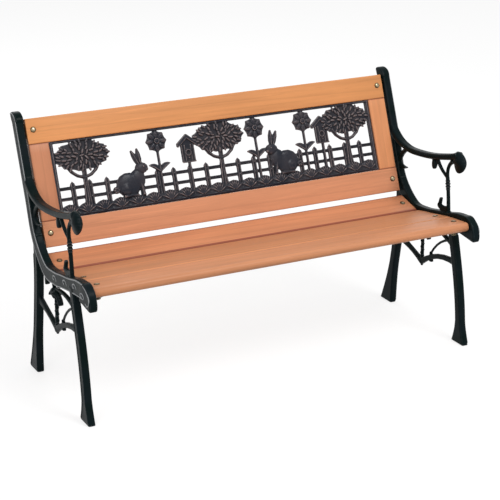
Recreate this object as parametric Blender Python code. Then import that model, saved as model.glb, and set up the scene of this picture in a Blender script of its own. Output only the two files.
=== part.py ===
"""A child's park bench: two cast-iron ends carry three seat slats and a wooden back with a cast panel.

X runs along the bench, +Y to its back and +Z up, in metres. The origin is on the floor, under the middle
of the bench's box. Profile points of the ends are (y, z) pairs, and a bar's stations are (y, z, width).
"""
import math

import bmesh
import bpy
from mathutils import Matrix, Vector

# Wooden back: rails of full length, stiles between them
RAIL_LENGTH = 0.800
RAIL_HEIGHT = 0.050
RAIL_THICKNESS = 0.014
STILE_WIDTH = 0.040
OPENING_HEIGHT = 0.151
BACK_LEAN = math.radians(21.4)
BACK_OFFSET = 0.0015
BACK_GAP = 0.0096
WOOD_EDGE = 0.0015

# Seat slats, from the front edge backwards; a positive tilt falls to the back
SLAT_END_GAP = 0.001
SLAT_THICKNESS = 0.018
SEAT_FRONT_Y = -0.135
SEAT_FRONT_Z = 0.2715
FRONT_SLAT_WIDTH = 0.064
FRONT_SLAT_TILT = math.radians(5.0)
MIDDLE_SLAT_WIDTH = 0.120
MIDDLE_SLAT_TILT = math.radians(9.6)
REAR_SLAT_WIDTH = 0.064
REAR_SLAT_TILT = math.radians(-14.0)
FRONT_SLAT_GAP = 0.0005
REAR_SLAT_GAP = 0.005
SLAT_EDGE = 0.003
NOSE_RADIUS = 0.0085

# Cast ends
END_GAP = 0.004
WEB_THICKNESS = 0.016
PROUD = 0.004
SEAT_PROUD = 0.0065
NOSE_SWELL = 0.0038
NOSE_REACH = 0.017
NOSE_DROP = 0.038
LEG_THICKNESS = 0.0145
LEG_INSET = 0.0025
REAR_LEG_INSET = 0.0008
ARM_THICKNESS = 0.018
VINE_THICKNESS = 0.009
VINE_WIDTH = 0.010
VINE_RISE = 0.045
CAST_EDGE = 0.002
CAP_RISE = 0.0185
CAP_FOOT = 0.010
CAP_SETBACK = 0.005
CAP_OVERHANG = 0.001
FRONT_FOOT_Y = -0.107
REAR_FOOT_Y = 0.170
LEG_WIDTH = 0.019
FOOT_LENGTH = 0.044
FOOT_RISE = 0.032
REAR_LEG_SETBACK = 0.002
KNEE_Z = 0.225
ARM_RISE = 0.0925
ARM_BAR = 0.0122
ARM_ROOT_RISE = 0.031
ARM_SAG_REACH = 0.090
SCROLL_Y = -0.083
SCROLL_RISE = 0.018
SCROLL_DEPTH = 0.037
SCROLL_HEIGHT = 0.046
SCROLL_WIDTH = 0.0195
SCROLL_TILT = math.radians(-5.0)
POST_Y = -0.047
POST_SPLIT_DROP = 0.024
POST_WIDTH = 0.008
HOOK_SETBACK = 0.032
HOOK_HEIGHT = 0.048
JUNCTION_Y = 0.041
JUNCTION_Z = 0.132
ARCH_Z = 0.168
BRACE_Z = 0.163
FLOWER_Z = 0.207
FLOWER_RADIUS = 0.0105

# Bolts with domed heads and square necks, their washers, nuts and the lugs that they clamp to
BOLT_INSET = 0.0134
TOP_BOLT_UP = 0.0275
BOTTOM_BOLT_UP = 0.027
SLAT_BOLT_BACK = 0.030
BOLT_RADIUS = 0.003
HEAD_RADIUS = 0.0056
HEAD_RISE = 0.0028
SEAT_HEAD_RISE = 0.0016
NECK_DEPTH = 0.003
THREAD_PAST_NUT = 0.001
WASHER_RADIUS = 0.0065
WASHER_THICKNESS = 0.0012
NUT_ACROSS_FLATS = 0.010
NUT_HEIGHT = 0.004
LUG_WIDTH = 0.030
LUG_END = 0.012
LUG_THICKNESS = 0.004

# Dowels in the stile joints, and the panel's screws
DOWEL_RADIUS = 0.003
DOWEL_LENGTH = 0.024
DOWEL_SPACING = 0.018
SCREW_RADIUS = 0.0018
SCREW_LENGTH = 0.012
SCREW_HEAD_RADIUS = 0.0036
SCREW_HEAD_RISE = 0.0022

# Cast back panel
RIM_SIDE = 0.008
RIM_TOP = 0.005
RIM_BOTTOM = 0.008
PANEL_SETBACK = 0.0025
PANEL_DEPTH = 0.0075
EAR_WIDTH = 0.018
EAR_LENGTH = 0.016
EAR_THICKNESS = 0.003
EAR_END = 0.090
CROWN_WIDTH = 0.112
CROWN_HEIGHT = 0.058
CROWN_LOBE_DEPTH = 0.0034
TRUNK_WIDTH = 0.011
GRASS_HEIGHT = 0.026
TUFT_WIDTH = 0.036
FENCE_HEIGHT = 0.064
PALE_WIDTH = 0.010
PALE_SPACING = 0.036
FENCE_RAIL = 0.007
BLOSSOM_RADIUS = 0.021
RABBIT_LENGTH = 0.074
BIRD_HOUSE_WIDTH = 0.030
BIRD_HOUSE_DROP = 0.014

# Clearance between pieces that touch
CLEAR = 0.0003

# Facets of round pieces, and the edges that stay sharp
ROUND_SIDES = 12
SMALL_SIDES = 8
CURVE_STEPS = 4
SHARP_ANGLE = math.radians(35.0)

# Sizes that follow from the others
CAST_INNER_X = RAIL_LENGTH / 2 + END_GAP
SLAT_LENGTH = 2 * (CAST_INNER_X - SLAT_END_GAP)
CAST_MIDDLE_X = CAST_INNER_X + WEB_THICKNESS / 2
LEG_MIDDLE_X = CAST_INNER_X + LEG_INSET + LEG_THICKNESS / 2
REAR_LEG_MIDDLE_X = CAST_INNER_X + REAR_LEG_INSET + LEG_THICKNESS / 2
BOLT_X = RAIL_LENGTH / 2 - BOLT_INSET
UPRIGHT_DEPTH = PROUD + RAIL_THICKNESS + CLEAR + LUG_THICKNESS
BAND_DEPTH = SEAT_PROUD + SLAT_THICKNESS + CLEAR + LUG_THICKNESS
BACK_HEIGHT = 2 * RAIL_HEIGHT + OPENING_HEIGHT
ARM_LOW_Z = SEAT_FRONT_Z + ARM_RISE
SCROLL_Z = ARM_LOW_Z + SCROLL_RISE
PANEL_HALF = RAIL_LENGTH / 2 - STILE_WIDTH - CLEAR
EAR_SPREAD = PANEL_HALF - EAR_END
BLOSSOM_HEIGHT = OPENING_HEIGHT - RIM_TOP - BLOSSOM_RADIUS
TREE_SPACING = PANEL_HALF - RIM_SIDE / 2 - CROWN_WIDTH / 2 - CROWN_LOBE_DEPTH


def clear_scene():
    for obj in list(bpy.data.objects):
        bpy.data.objects.remove(obj, do_unlink=True)


def make_material(name, colour, roughness, metallic):
    material = bpy.data.materials.new(name)
    material.use_nodes = True
    shader = material.node_tree.nodes["Principled BSDF"]
    shader.inputs["Base Color"].default_value = (*colour, 1.0)
    shader.inputs["Roughness"].default_value = roughness
    shader.inputs["Metallic"].default_value = metallic
    return material


def make_empty(name, location=(0, 0, 0), tilt=0.0, parent=None):
    empty = bpy.data.objects.new(name, None)
    bpy.context.scene.collection.objects.link(empty)
    empty.location = location
    empty.rotation_euler.x = tilt
    empty.parent = parent
    return empty


def make_object(name, bm, parent=None, location=(0, 0, 0), tilt=0.0):
    """An object from a bmesh of one closed body, with its faces turned outwards."""
    bmesh.ops.recalc_face_normals(bm, faces=bm.faces)
    mesh = bpy.data.meshes.new(name)
    bm.to_mesh(mesh)
    bm.free()
    obj = bpy.data.objects.new(name, mesh)
    bpy.context.scene.collection.objects.link(obj)
    obj.location = location
    obj.rotation_euler.x = tilt
    obj.parent = parent
    return obj


def finish(obj, material):
    obj.data.materials.clear()
    obj.data.materials.append(material)
    obj.data.shade_smooth()
    obj.data.set_sharp_from_angle(angle=SHARP_ANGLE)


def combine(target, tools, operation):
    """Joins the tools to the target, or cuts them from it."""
    group = bpy.data.collections.new(operation)
    for tool in tools:
        group.objects.link(tool)
    modifier = target.modifiers.new(operation, "BOOLEAN")
    modifier.operation = operation
    modifier.operand_type = "COLLECTION"
    modifier.collection = group
    modifier.solver = "EXACT"
    view = bpy.context.evaluated_depsgraph_get()
    mesh = bpy.data.meshes.new_from_object(target.evaluated_get(view))
    target.modifiers.clear()
    target.data = mesh
    bpy.data.collections.remove(group)


def remove(objects):
    for obj in objects:
        bpy.data.objects.remove(obj, do_unlink=True)


def fuse(name, parts):
    """One body from overlapping bodies."""
    base = parts[0]
    combine(base, parts[1:], "UNION")
    remove(parts[1:])
    base.name = name
    return base


def loft(bm, rings):
    """A closed skin over rings of equally many points, capped at both ends."""
    loops = [[bm.verts.new(point) for point in ring] for ring in rings]
    count = len(loops[0])
    for lower, upper in zip(loops, loops[1:]):
        for i in range(count):
            j = (i + 1) % count
            bm.faces.new((lower[i], lower[j], upper[j], upper[i]))
    bm.faces.new(loops[0])
    bm.faces.new(loops[-1])


def side_plane(across, up, out):
    """Profile plane of the ends: thickness along X."""
    return (out, across, up)


def back_plane(across, up, out):
    """Plane of the back, in the back's own frame: thickness along its depth."""
    return (across, out, up)


def inset(outline, distance):
    """The outline moved inwards, corner by corner; it runs anticlockwise."""
    moved = []
    for i, point in enumerate(outline):
        before = (Vector(point) - Vector(outline[i - 1])).normalized()
        after = (Vector(outline[(i + 1) % len(outline)]) - Vector(point)).normalized()
        bisector = Vector((-before.y - after.y, before.x + after.x))
        reach = 1.0 + before.dot(after)
        moved.append(Vector(point) + bisector * (distance / max(reach, 0.3)))
    return [tuple(point) for point in moved]


def slab(plane, outline, low, high, edge=0.0):
    """A plate with the given outline, with its rims chamfered if an edge is given."""
    bm = bmesh.new()
    if edge > 0:
        inner = inset(outline, edge)
        levels = ((inner, low), (outline, low + edge), (outline, high - edge), (inner, high))
    else:
        levels = ((outline, low), (outline, high))
    loft(bm, [[plane(a, b, level) for a, b in ring] for ring, level in levels])
    return make_object("slab", bm)


def curve_through(stations, steps):
    """A smooth curve through the stations, whose values are all interpolated."""
    points = [Vector(station) for station in stations]
    points = [2 * points[0] - points[1], *points, 2 * points[-1] - points[-2]]
    curve = []
    for i in range(1, len(points) - 2):
        a, b, c, d = points[i - 1:i + 3]
        for step in range(steps):
            t = step / steps
            curve.append(0.5 * (2 * b + (c - a) * t + (2 * a - 5 * b + 4 * c - d) * t ** 2
                                + (3 * b - a - 3 * c + d) * t ** 3))
    return curve + [points[-2]]


def bow(start, end, sag, widths, count=6):
    """Stations of a bowed bar: sag lies to the left of the way from start to end."""
    start, end = Vector(start), Vector(end)
    way = end - start
    left = Vector((-way.y, way.x)).normalized()
    first, middle, last = widths
    stations = []
    for i in range(count + 1):
        t = i / count
        place = start + way * t + left * (4 * sag * t * (1 - t))
        width = first * (1 - t) * (1 - 2 * t) + middle * 4 * t * (1 - t) + last * t * (2 * t - 1)
        stations.append(Vector((place.x, place.y, width)))
    return stations


def bar(plane, stations, middle, thickness, edge, level=False):
    """A bar along the stations, with chamfered edges; its sections stand across it, or all lie level."""
    bm = bmesh.new()
    rings = []
    for i, station in enumerate(stations):
        ahead = stations[min(i + 1, len(stations) - 1)]
        behind = stations[max(i - 1, 0)]
        way = Vector((0, 1)) if level else Vector((ahead.x - behind.x, ahead.y - behind.y)).normalized()
        wide, deep = station.z / 2, thickness / 2
        cut = min(edge, 0.6 * wide, 0.6 * deep)
        section = ((wide, deep - cut), (wide - cut, deep), (cut - wide, deep), (-wide, deep - cut),
                   (-wide, cut - deep), (cut - wide, -deep), (wide - cut, -deep), (wide, cut - deep))
        rings.append([plane(station.x - way.y * a, station.y + way.x * a, middle + b) for a, b in section])
    loft(bm, rings)
    return make_object("bar", bm)


def turned(profile, sides=ROUND_SIDES, square=()):
    """A piece turned about Z from (radius, z) pairs; the pairs numbered in square are square, not round."""
    bm = bmesh.new()
    rings = []
    for number, (radius, z) in enumerate(profile):
        ring = []
        for i in range(sides):
            angle = 2 * math.pi * (i + 0.5) / sides
            across, up = math.cos(angle), math.sin(angle)
            reach = radius / max(abs(across), abs(up)) if number in square else radius
            ring.append((reach * across, reach * up, z))
        rings.append(ring)
    loft(bm, rings)
    return bm


def tube(outline, bore_radius, height):
    """A washer or nut about Z: an outline of reach by angle, round a bore."""
    bm = bmesh.new()
    angles = [2 * math.pi * i / ROUND_SIDES for i in range(ROUND_SIDES)]
    loops = []
    for reach, z in ((outline, 0), (outline, height), (lambda angle: bore_radius, height),
                     (lambda angle: bore_radius, 0)):
        loops.append([bm.verts.new((reach(a) * math.cos(a), reach(a) * math.sin(a), z)) for a in angles])
    for lower, upper in zip(loops, loops[1:] + loops[:1]):
        for i in range(ROUND_SIDES):
            j = (i + 1) % ROUND_SIDES
            bm.faces.new((lower[i], lower[j], upper[j], upper[i]))
    return bm


def board_profile(low, high, radii, steps):
    """A rectangle with rounded corners, anticlockwise from its lower left corner."""
    corners = ((low[0], low[1]), (high[0], low[1]), (high[0], high[1]), (low[0], high[1]))
    inward = ((1, 1), (-1, 1), (-1, -1), (1, -1))
    outline = []
    for number, ((a, b), (da, db), radius) in enumerate(zip(corners, inward, radii)):
        first = math.pi * (1 + number / 2)
        for step in range(steps + 1):
            angle = first + math.pi / 2 * step / steps
            outline.append((a + radius * (da + math.cos(angle)), b + radius * (db + math.sin(angle))))
    return outline


def seat_lines():
    """The slats' top lines: name, front edge, tilt and width of each."""
    front = Vector((SEAT_FRONT_Y, SEAT_FRONT_Z))
    front_gap = FRONT_SLAT_GAP + 2 * SLAT_THICKNESS * math.tan(
        max(MIDDLE_SLAT_TILT - FRONT_SLAT_TILT, 0) / 2)
    rear_gap = REAR_SLAT_GAP + 2 * SLAT_THICKNESS * math.tan(max(REAR_SLAT_TILT - MIDDLE_SLAT_TILT, 0) / 2)
    lines = []
    for name, tilt, width, gap in (("front", FRONT_SLAT_TILT, FRONT_SLAT_WIDTH, front_gap),
                                   ("middle", MIDDLE_SLAT_TILT, MIDDLE_SLAT_WIDTH, rear_gap),
                                   ("rear", REAR_SLAT_TILT, REAR_SLAT_WIDTH, 0)):
        lines.append((name, front, tilt, width))
        front = front + (width + gap) * Vector((math.cos(tilt), -math.sin(tilt)))
    return lines


def seat_point(line, along, deep):
    """Profile point of a slat: along its top from the front edge, and below its top face."""
    _, front, tilt, _ = line
    return front + Vector((along * math.cos(tilt) - deep * math.sin(tilt),
                           -along * math.sin(tilt) - deep * math.cos(tilt)))


def back_foot():
    """The bottom rail's lower front edge, above and behind the rear slat."""
    rear = seat_lines()[2]
    return seat_point(rear, REAR_SLAT_WIDTH, 0) + Vector((BACK_OFFSET, BACK_GAP))


def back_point(up, deep):
    """Profile point of the back: up its slope from the bottom rail's lower edge, behind its front face."""
    return back_foot() + Vector((up * math.sin(BACK_LEAN) + deep * math.cos(BACK_LEAN),
                                 up * math.cos(BACK_LEAN) - deep * math.sin(BACK_LEAN)))


def band_stations():
    """The seat band and upright: one bar from the seat's nose to the top of the back."""
    front, middle, rear = seat_lines()
    deep = BAND_DEPTH / 2 - SEAT_PROUD
    stations = [
        (*seat_point(front, 0.25 * FRONT_SLAT_WIDTH, deep - NOSE_SWELL / 2), BAND_DEPTH + NOSE_SWELL),
        (*seat_point(front, 0.75 * FRONT_SLAT_WIDTH, deep - NOSE_SWELL / 2), BAND_DEPTH + NOSE_SWELL),
        (*seat_point(middle, 0.15 * MIDDLE_SLAT_WIDTH, deep), BAND_DEPTH),
        (*seat_point(middle, 0.50 * MIDDLE_SLAT_WIDTH, deep), BAND_DEPTH),
        (*seat_point(middle, 0.85 * MIDDLE_SLAT_WIDTH, deep), BAND_DEPTH),
        (*seat_point(rear, 0.40 * REAR_SLAT_WIDTH, deep), BAND_DEPTH),
    ]
    deep = UPRIGHT_DEPTH / 2 - PROUD
    stations += [(*back_point(share * BACK_HEIGHT, deep), UPRIGHT_DEPTH) for share in (0.10, 0.40, 0.70)]
    stations.append((*back_point(BACK_HEIGHT, deep), UPRIGHT_DEPTH))
    return curve_through(stations, CURVE_STEPS)


def cap():
    """The upright's head above the top rail: its front edge sweeps up and back to a blunt tip."""
    def place(rise, depth, setback=0.0):
        deep = depth * UPRIGHT_DEPTH - PROUD
        return back_point(BACK_HEIGHT + rise * CAP_RISE, deep + setback * CAP_SETBACK)

    foot = -CAP_FOOT / CAP_RISE
    front = [place(0.4 * foot, -0.03), place(0.08, -0.02), place(0.45, 0.12), place(0.83, 0.45),
             place(0.98, 0.80)]
    tip = [place(1.0, 1.0), place(0.95, 1.0, 0.7), place(0.78, 1.0, 1.0)]
    rear = [place(0.2, 1.0, 0.8), place(0.4 * foot, 1.04), place(foot, 0.85)]
    edge = [place(foot, 0.15), *curve_through(front, CURVE_STEPS), *curve_through(tip, CURVE_STEPS), *rear]
    outline = [tuple(point) for point in reversed(edge)]
    inner, outer = CAST_INNER_X - CAP_OVERHANG, CAST_MIDDLE_X + 0.53 * WEB_THICKNESS
    return slab(side_plane, outline, inner, outer, CAST_EDGE)


def nose_outline():
    """The solid nose in front of the seat, which ends the band in a wedge."""
    front = seat_lines()[0]
    rise = SEAT_PROUD + NOSE_SWELL
    top = seat_point(front, 0.40 * FRONT_SLAT_WIDTH, -rise)
    brow = seat_point(front, 0.12 * FRONT_SLAT_WIDTH, 0.2 * NOSE_SWELL - rise)
    tip = Vector((SEAT_FRONT_Y - NOSE_REACH, SEAT_FRONT_Z - 0.6 * NOSE_DROP))
    toe = Vector((SEAT_FRONT_Y - 0.96 * NOSE_REACH, SEAT_FRONT_Z - 0.93 * NOSE_DROP))
    bulge = brow.lerp(tip, 0.5) + Vector((-0.28, 0.2)) * NOSE_REACH
    front_edge = curve_through([top, brow, bulge, tip, toe], 2 * CURVE_STEPS)
    sole = Vector((SEAT_FRONT_Y - 0.80 * NOSE_REACH, SEAT_FRONT_Z - NOSE_DROP))
    heel = seat_point(front, 0.62 * FRONT_SLAT_WIDTH, BAND_DEPTH)
    return [tuple(point) for point in [*front_edge, sole, heel]]


def front_leg_y(z):
    """The front leg's middle line sweeps forward from the band to the foot."""
    top = seat_point(seat_lines()[1], 0.10 * MIDDLE_SLAT_WIDTH, BAND_DEPTH / 2)
    return top.x + (FRONT_FOOT_Y - top.x) * math.sin(math.pi / 2 * (1 - z / top.y))


def rear_leg_y(z):
    """The rear leg's middle line drops from the upright and sweeps back to the foot."""
    top = back_point(0.10 * BACK_HEIGHT, UPRIGHT_DEPTH / 2 - PROUD).x - REAR_LEG_SETBACK
    return top + (REAR_FOOT_Y - top) * max(1 - z / KNEE_Z, 0) ** 1.3


def leg_stations(middle_y, top_z, flare):
    """A leg from the floor up, flared out to its foot below the flare's height."""
    heights = [share * FOOT_RISE for share in (0, 0.25, 0.6, 1, 1.5, 2)]
    heights += [2 * FOOT_RISE + (top_z - 2 * FOOT_RISE) * step / 8 for step in range(1, 9)]
    stations = []
    for z in heights:
        spread = (FOOT_LENGTH - LEG_WIDTH) * max(1 - z / flare, 0) ** 1.5
        stations.append(Vector((middle_y(z), z, LEG_WIDTH + spread)))
    return stations


def upright_middle(z):
    """The point on the upright's middle line at a height."""
    deep = UPRIGHT_DEPTH / 2 - PROUD
    up = (z - back_foot().y + deep * math.sin(BACK_LEAN)) / math.cos(BACK_LEAN)
    return back_point(up, deep)


def arm_line():
    """The arm's root on the upright, its low point and the middle of its scroll."""
    root = upright_middle(ARM_LOW_Z + ARM_ROOT_RISE)
    return root, Vector((root.x - ARM_SAG_REACH, ARM_LOW_Z)), Vector((SCROLL_Y, SCROLL_Z))


def arm_bars():
    """The arm, with its fillet, bracket and thorn at the upright."""
    root, low, scroll = arm_line()
    arm = curve_through([
        (*root, 1.4 * ARM_BAR),
        (root.x - 0.31 * ARM_SAG_REACH, ARM_LOW_Z + 0.39 * ARM_ROOT_RISE, 1.2 * ARM_BAR),
        (root.x - 0.62 * ARM_SAG_REACH, ARM_LOW_Z + 0.10 * ARM_ROOT_RISE, ARM_BAR),
        (*low, ARM_BAR),
        (*low.lerp(scroll, 0.40), ARM_BAR),
        (*(low.lerp(scroll, 0.80) + Vector((0, 0.18 * SCROLL_HEIGHT))), 1.05 * ARM_BAR),
        (*(scroll + Vector((0.1 * SCROLL_DEPTH, 0.33 * SCROLL_HEIGHT))), 1.1 * ARM_BAR),
    ], CURVE_STEPS)
    fillet_start = Vector((root.x - 0.56 * ARM_SAG_REACH, ARM_LOW_Z + 0.10 * ARM_ROOT_RISE))
    fillet = bow(fillet_start, upright_middle(ARM_LOW_Z + 1.8 * ARM_ROOT_RISE), -0.75 * ARM_BAR,
                 (ARM_BAR, 1.1 * ARM_BAR, ARM_BAR))
    bracket_start = Vector((root.x - 0.76 * ARM_SAG_REACH, ARM_LOW_Z))
    bracket = bow(bracket_start, upright_middle(ARM_LOW_Z - 1.5 * ARM_ROOT_RISE), 0.7 * ARM_BAR,
                  (0.7 * ARM_BAR, 0.8 * ARM_BAR, 0.85 * ARM_BAR))
    thorn_base = upright_middle(ARM_LOW_Z - 1.25 * ARM_ROOT_RISE)
    thorn = bow(thorn_base, thorn_base - Vector((2.9, 0.4)) * ARM_BAR, 0.3 * ARM_BAR,
                (1.3 * ARM_BAR, 0.85 * ARM_BAR, 0.2 * ARM_BAR))
    return [
        bar(side_plane, arm, CAST_MIDDLE_X, ARM_THICKNESS, 1.5 * CAST_EDGE),
        bar(side_plane, fillet, CAST_MIDDLE_X, 0.92 * WEB_THICKNESS, CAST_EDGE),
        bar(side_plane, bracket, CAST_MIDDLE_X, VINE_THICKNESS, CAST_EDGE),
        bar(side_plane, thorn, CAST_MIDDLE_X, 0.95 * VINE_THICKNESS, CAST_EDGE),
    ]


def post_bars():
    """The branched post that carries the arm, with the leaf and the hook beside it."""
    _, low, scroll = arm_line()
    wide = POST_WIDTH
    seat = seat_lines()[1]
    foot = seat_point(seat, (POST_Y - seat[1].x) / math.cos(seat[2]), BAND_DEPTH / 2)
    split = Vector((POST_Y + 0.75 * wide, ARM_LOW_Z - POST_SPLIT_DROP))
    post = bow(foot, split, 0.25 * wide, (1.5 * wide, 0.95 * wide, 1.05 * wide))
    front_branch = bow(split, low.lerp(scroll, 0.86), -wide, (0.9 * wide, 0.9 * wide, 1.3 * wide))
    rear_branch = bow(split, low.lerp(scroll, 0.50), -0.5 * wide, (0.8 * wide, 0.9 * wide, 1.3 * wide))
    crest = BAND_DEPTH / 2 + SEAT_PROUD
    hook_foot = foot + Vector((HOOK_SETBACK, -0.5 * wide))
    hook = curve_through([
        (*(foot + Vector((0, crest + 1.0 * wide))), 1.3 * wide),
        (*(foot.lerp(hook_foot, 0.5) + Vector((0, crest + 0.5 * wide))), 1.7 * wide),
        (*(hook_foot + Vector((0.15 * wide, crest + 1.1 * wide))), 1.3 * wide),
        (*(hook_foot + Vector((-0.1 * wide, 0.75 * HOOK_HEIGHT))), 1.0 * wide),
        (*(hook_foot + Vector((-0.5 * wide, HOOK_HEIGHT))), 0.6 * wide),
    ], CURVE_STEPS)
    bars = ((post, 1.0), (front_branch, 0.94), (rear_branch, 0.88), (hook, 1.03))
    parts = [bar(side_plane, stations, CAST_MIDDLE_X, share * wide, 0.3 * wide) for stations, share in bars]
    leaf = lobed(low.lerp(scroll, 0.47) + Vector((0.3, -1.9)) * wide, 0.75 * wide, 0, 1, 16, 2.0)
    parts.append(slab(side_plane, leaf, CAST_MIDDLE_X - 0.6 * wide, CAST_MIDDLE_X + 0.6 * wide, CAST_EDGE))
    return parts


def scroll_drop():
    """The arm's front end: a drooping, rolled leaf, which narrows to its tip."""
    bm = bmesh.new()
    bmesh.ops.create_uvsphere(bm, u_segments=20, v_segments=12, radius=0.5)
    for vertex in bm.verts:
        vertex.co.x *= 1 + 0.75 * min(vertex.co.z, 0)
        vertex.co.y += 0.7 * vertex.co.z ** 2
    shape = Matrix.Diagonal((SCROLL_WIDTH, SCROLL_DEPTH, SCROLL_HEIGHT, 1))
    place = Matrix.Translation((CAST_MIDDLE_X, SCROLL_Y, SCROLL_Z))
    bmesh.ops.transform(bm, matrix=place @ Matrix.Rotation(SCROLL_TILT, 4, "X") @ shape, verts=bm.verts)
    return make_object("scroll", bm)


def under_seat_bars():
    """Stretchers, stem, leaves and vine between the legs."""
    wide = VINE_WIDTH
    junction = Vector((JUNCTION_Y, JUNCTION_Z))
    seat = seat_lines()[1]
    stem_top = seat_point(seat, (JUNCTION_Y - seat[1].x) / math.cos(seat[2]), 0.8 * BAND_DEPTH)
    arch_start = Vector((front_leg_y(ARCH_Z), ARCH_Z))
    brace_end = Vector((rear_leg_y(BRACE_Z), BRACE_Z))
    arch = bow(arch_start, junction, 1.2 * wide, (1.4 * wide, 1.1 * wide, 1.3 * wide))
    brace = bow(junction, brace_end, 0.3 * wide, (1.3 * wide, wide, 2.0 * wide))

    flower = Vector((JUNCTION_Y, FLOWER_Z))
    stem = bow(junction, flower, 0, (0.85 * wide, 0.65 * wide, 0.65 * wide))
    tendril = bow(flower, stem_top + Vector((1.5, -0.25)) * wide, -0.2 * wide,
                  (0.65 * wide, 0.6 * wide, 0.8 * wide))
    leaf_widths = (0.7 * wide, 1.05 * wide, 0.3 * wide)
    front_leaf = bow(flower, flower + Vector((-2.25, -1.85)) * FLOWER_RADIUS, -0.5 * wide, leaf_widths)
    rear_leaf = bow(flower, flower + Vector((2.75, -1.35)) * FLOWER_RADIUS, 0.6 * wide, leaf_widths)
    petals = lobed(flower, FLOWER_RADIUS, 0, 1, 14)
    knob_top = stem_top + Vector((4.7, 1.0)) * wide
    knob = bow(knob_top, knob_top + Vector((0.3, -2.6)) * wide, 0, (wide, 1.2 * wide, 0.5 * wide))

    thorn_root = arch_start.lerp(junction, 0.72)
    thorn_tip = thorn_root + Vector((0.2, 2.2)) * wide
    thorn = bow(thorn_root, thorn_tip, 0, (1.2 * wide, 0.85 * wide, 0.5 * wide))
    vine_z = ARCH_Z + VINE_RISE
    vine = bow(thorn_tip - Vector((0, 0.4 * wide)), (front_leg_y(vine_z), vine_z), -wide,
               (0.55 * wide, 0.55 * wide, 0.7 * wide))
    gusset_z = FLOWER_Z - 0.5 * wide
    gusset = bow((front_leg_y(gusset_z), gusset_z), flower + Vector((0, 0.7 * FLOWER_RADIUS)), wide,
                 (1.2 * wide, 0.7 * wide, 0.65 * wide))

    deep = VINE_THICKNESS
    bars = ((arch, 1.0), (brace, 1.05), (stem, 0.85), (tendril, 0.8), (front_leaf, 0.9), (rear_leaf, 0.87),
            (knob, 1.1), (thorn, 0.78), (vine, 0.55), (gusset, 0.97))
    parts = [bar(side_plane, stations, CAST_MIDDLE_X, share * deep, CAST_EDGE) for stations, share in bars]
    parts.append(slab(side_plane, petals, CAST_MIDDLE_X - 0.7 * deep, CAST_MIDDLE_X + 0.7 * deep,
                      CAST_EDGE))
    return parts


def lobed(centre, radius, depth, lobes, count, stretch=1.0):
    """A round outline with lobes, anticlockwise: depth is the lobes' share of the radius."""
    outline = []
    for i in range(count):
        angle = 2 * math.pi * i / count
        reach = radius * (1 + depth * math.cos(lobes * angle))
        outline.append((centre[0] + reach * math.cos(angle), centre[1] + stretch * reach * math.sin(angle)))
    return outline


def lug(place):
    """A round-ended tab on the end's inner face, under a bolt; place turns Z out of the wood's face."""
    radius = LUG_WIDTH / 2
    inner = BOLT_X - LUG_END
    outline = [(CAST_INNER_X + 0.4 * WEB_THICKNESS, -radius), (CAST_INNER_X + 0.4 * WEB_THICKNESS, radius)]
    for step in range(7):
        angle = math.pi / 2 + math.pi * step / 6
        outline.append((inner + radius + radius * math.cos(angle), radius * math.sin(angle)))
    thickness, matrix = place
    bm = bmesh.new()
    low = -(thickness + CLEAR + LUG_THICKNESS)
    loft(bm, [[(x, y, z) for x, y in outline] for z in (low, low + LUG_THICKNESS)])
    bmesh.ops.transform(bm, matrix=matrix, verts=bm.verts)
    return make_object("lug", bm)


def fixings():
    """Where the bolts go: name, wood thickness, frame of the wood's face at mid-length, and head's rise."""
    front, middle, rear = seat_lines()
    places = []
    for name, up in (("bottom_rail", BOTTOM_BOLT_UP),
                     ("top_rail", RAIL_HEIGHT + OPENING_HEIGHT + TOP_BOLT_UP)):
        y, z = back_point(up, 0)
        frame = Matrix.Translation((0, y, z)) @ Matrix.Rotation(math.pi / 2 - BACK_LEAN, 4, "X")
        places.append((name, RAIL_THICKNESS, frame, HEAD_RISE))
    for line, along in ((front, SLAT_BOLT_BACK), (middle, SLAT_BOLT_BACK), (rear, REAR_SLAT_WIDTH / 2)):
        y, z = seat_point(line, along, 0)
        frame = Matrix.Translation((0, y, z)) @ Matrix.Rotation(-line[2], 4, "X")
        places.append((f"{line[0]}_slat", SLAT_THICKNESS, frame, SEAT_HEAD_RISE))
    return places


def grip_length(thickness):
    """From the underside of a bolt's head to the far side of its nut."""
    return thickness + LUG_THICKNESS + WASHER_THICKNESS + NUT_HEIGHT + 4 * CLEAR


def hole_cutter(thickness, matrix, x):
    """The hole for a bolt: square at its mouth for the neck, then round."""
    neck = BOLT_RADIUS + CLEAR
    end = -2 * grip_length(thickness)
    bm = turned([(neck, HEAD_RISE), (neck, -NECK_DEPTH - CLEAR), (neck, -NECK_DEPTH - CLEAR), (neck, end)],
                square=(0, 1))
    bmesh.ops.transform(bm, matrix=Matrix.Translation((x, 0, 0)) @ matrix, verts=bm.verts)
    return make_object("hole", bm)


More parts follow.
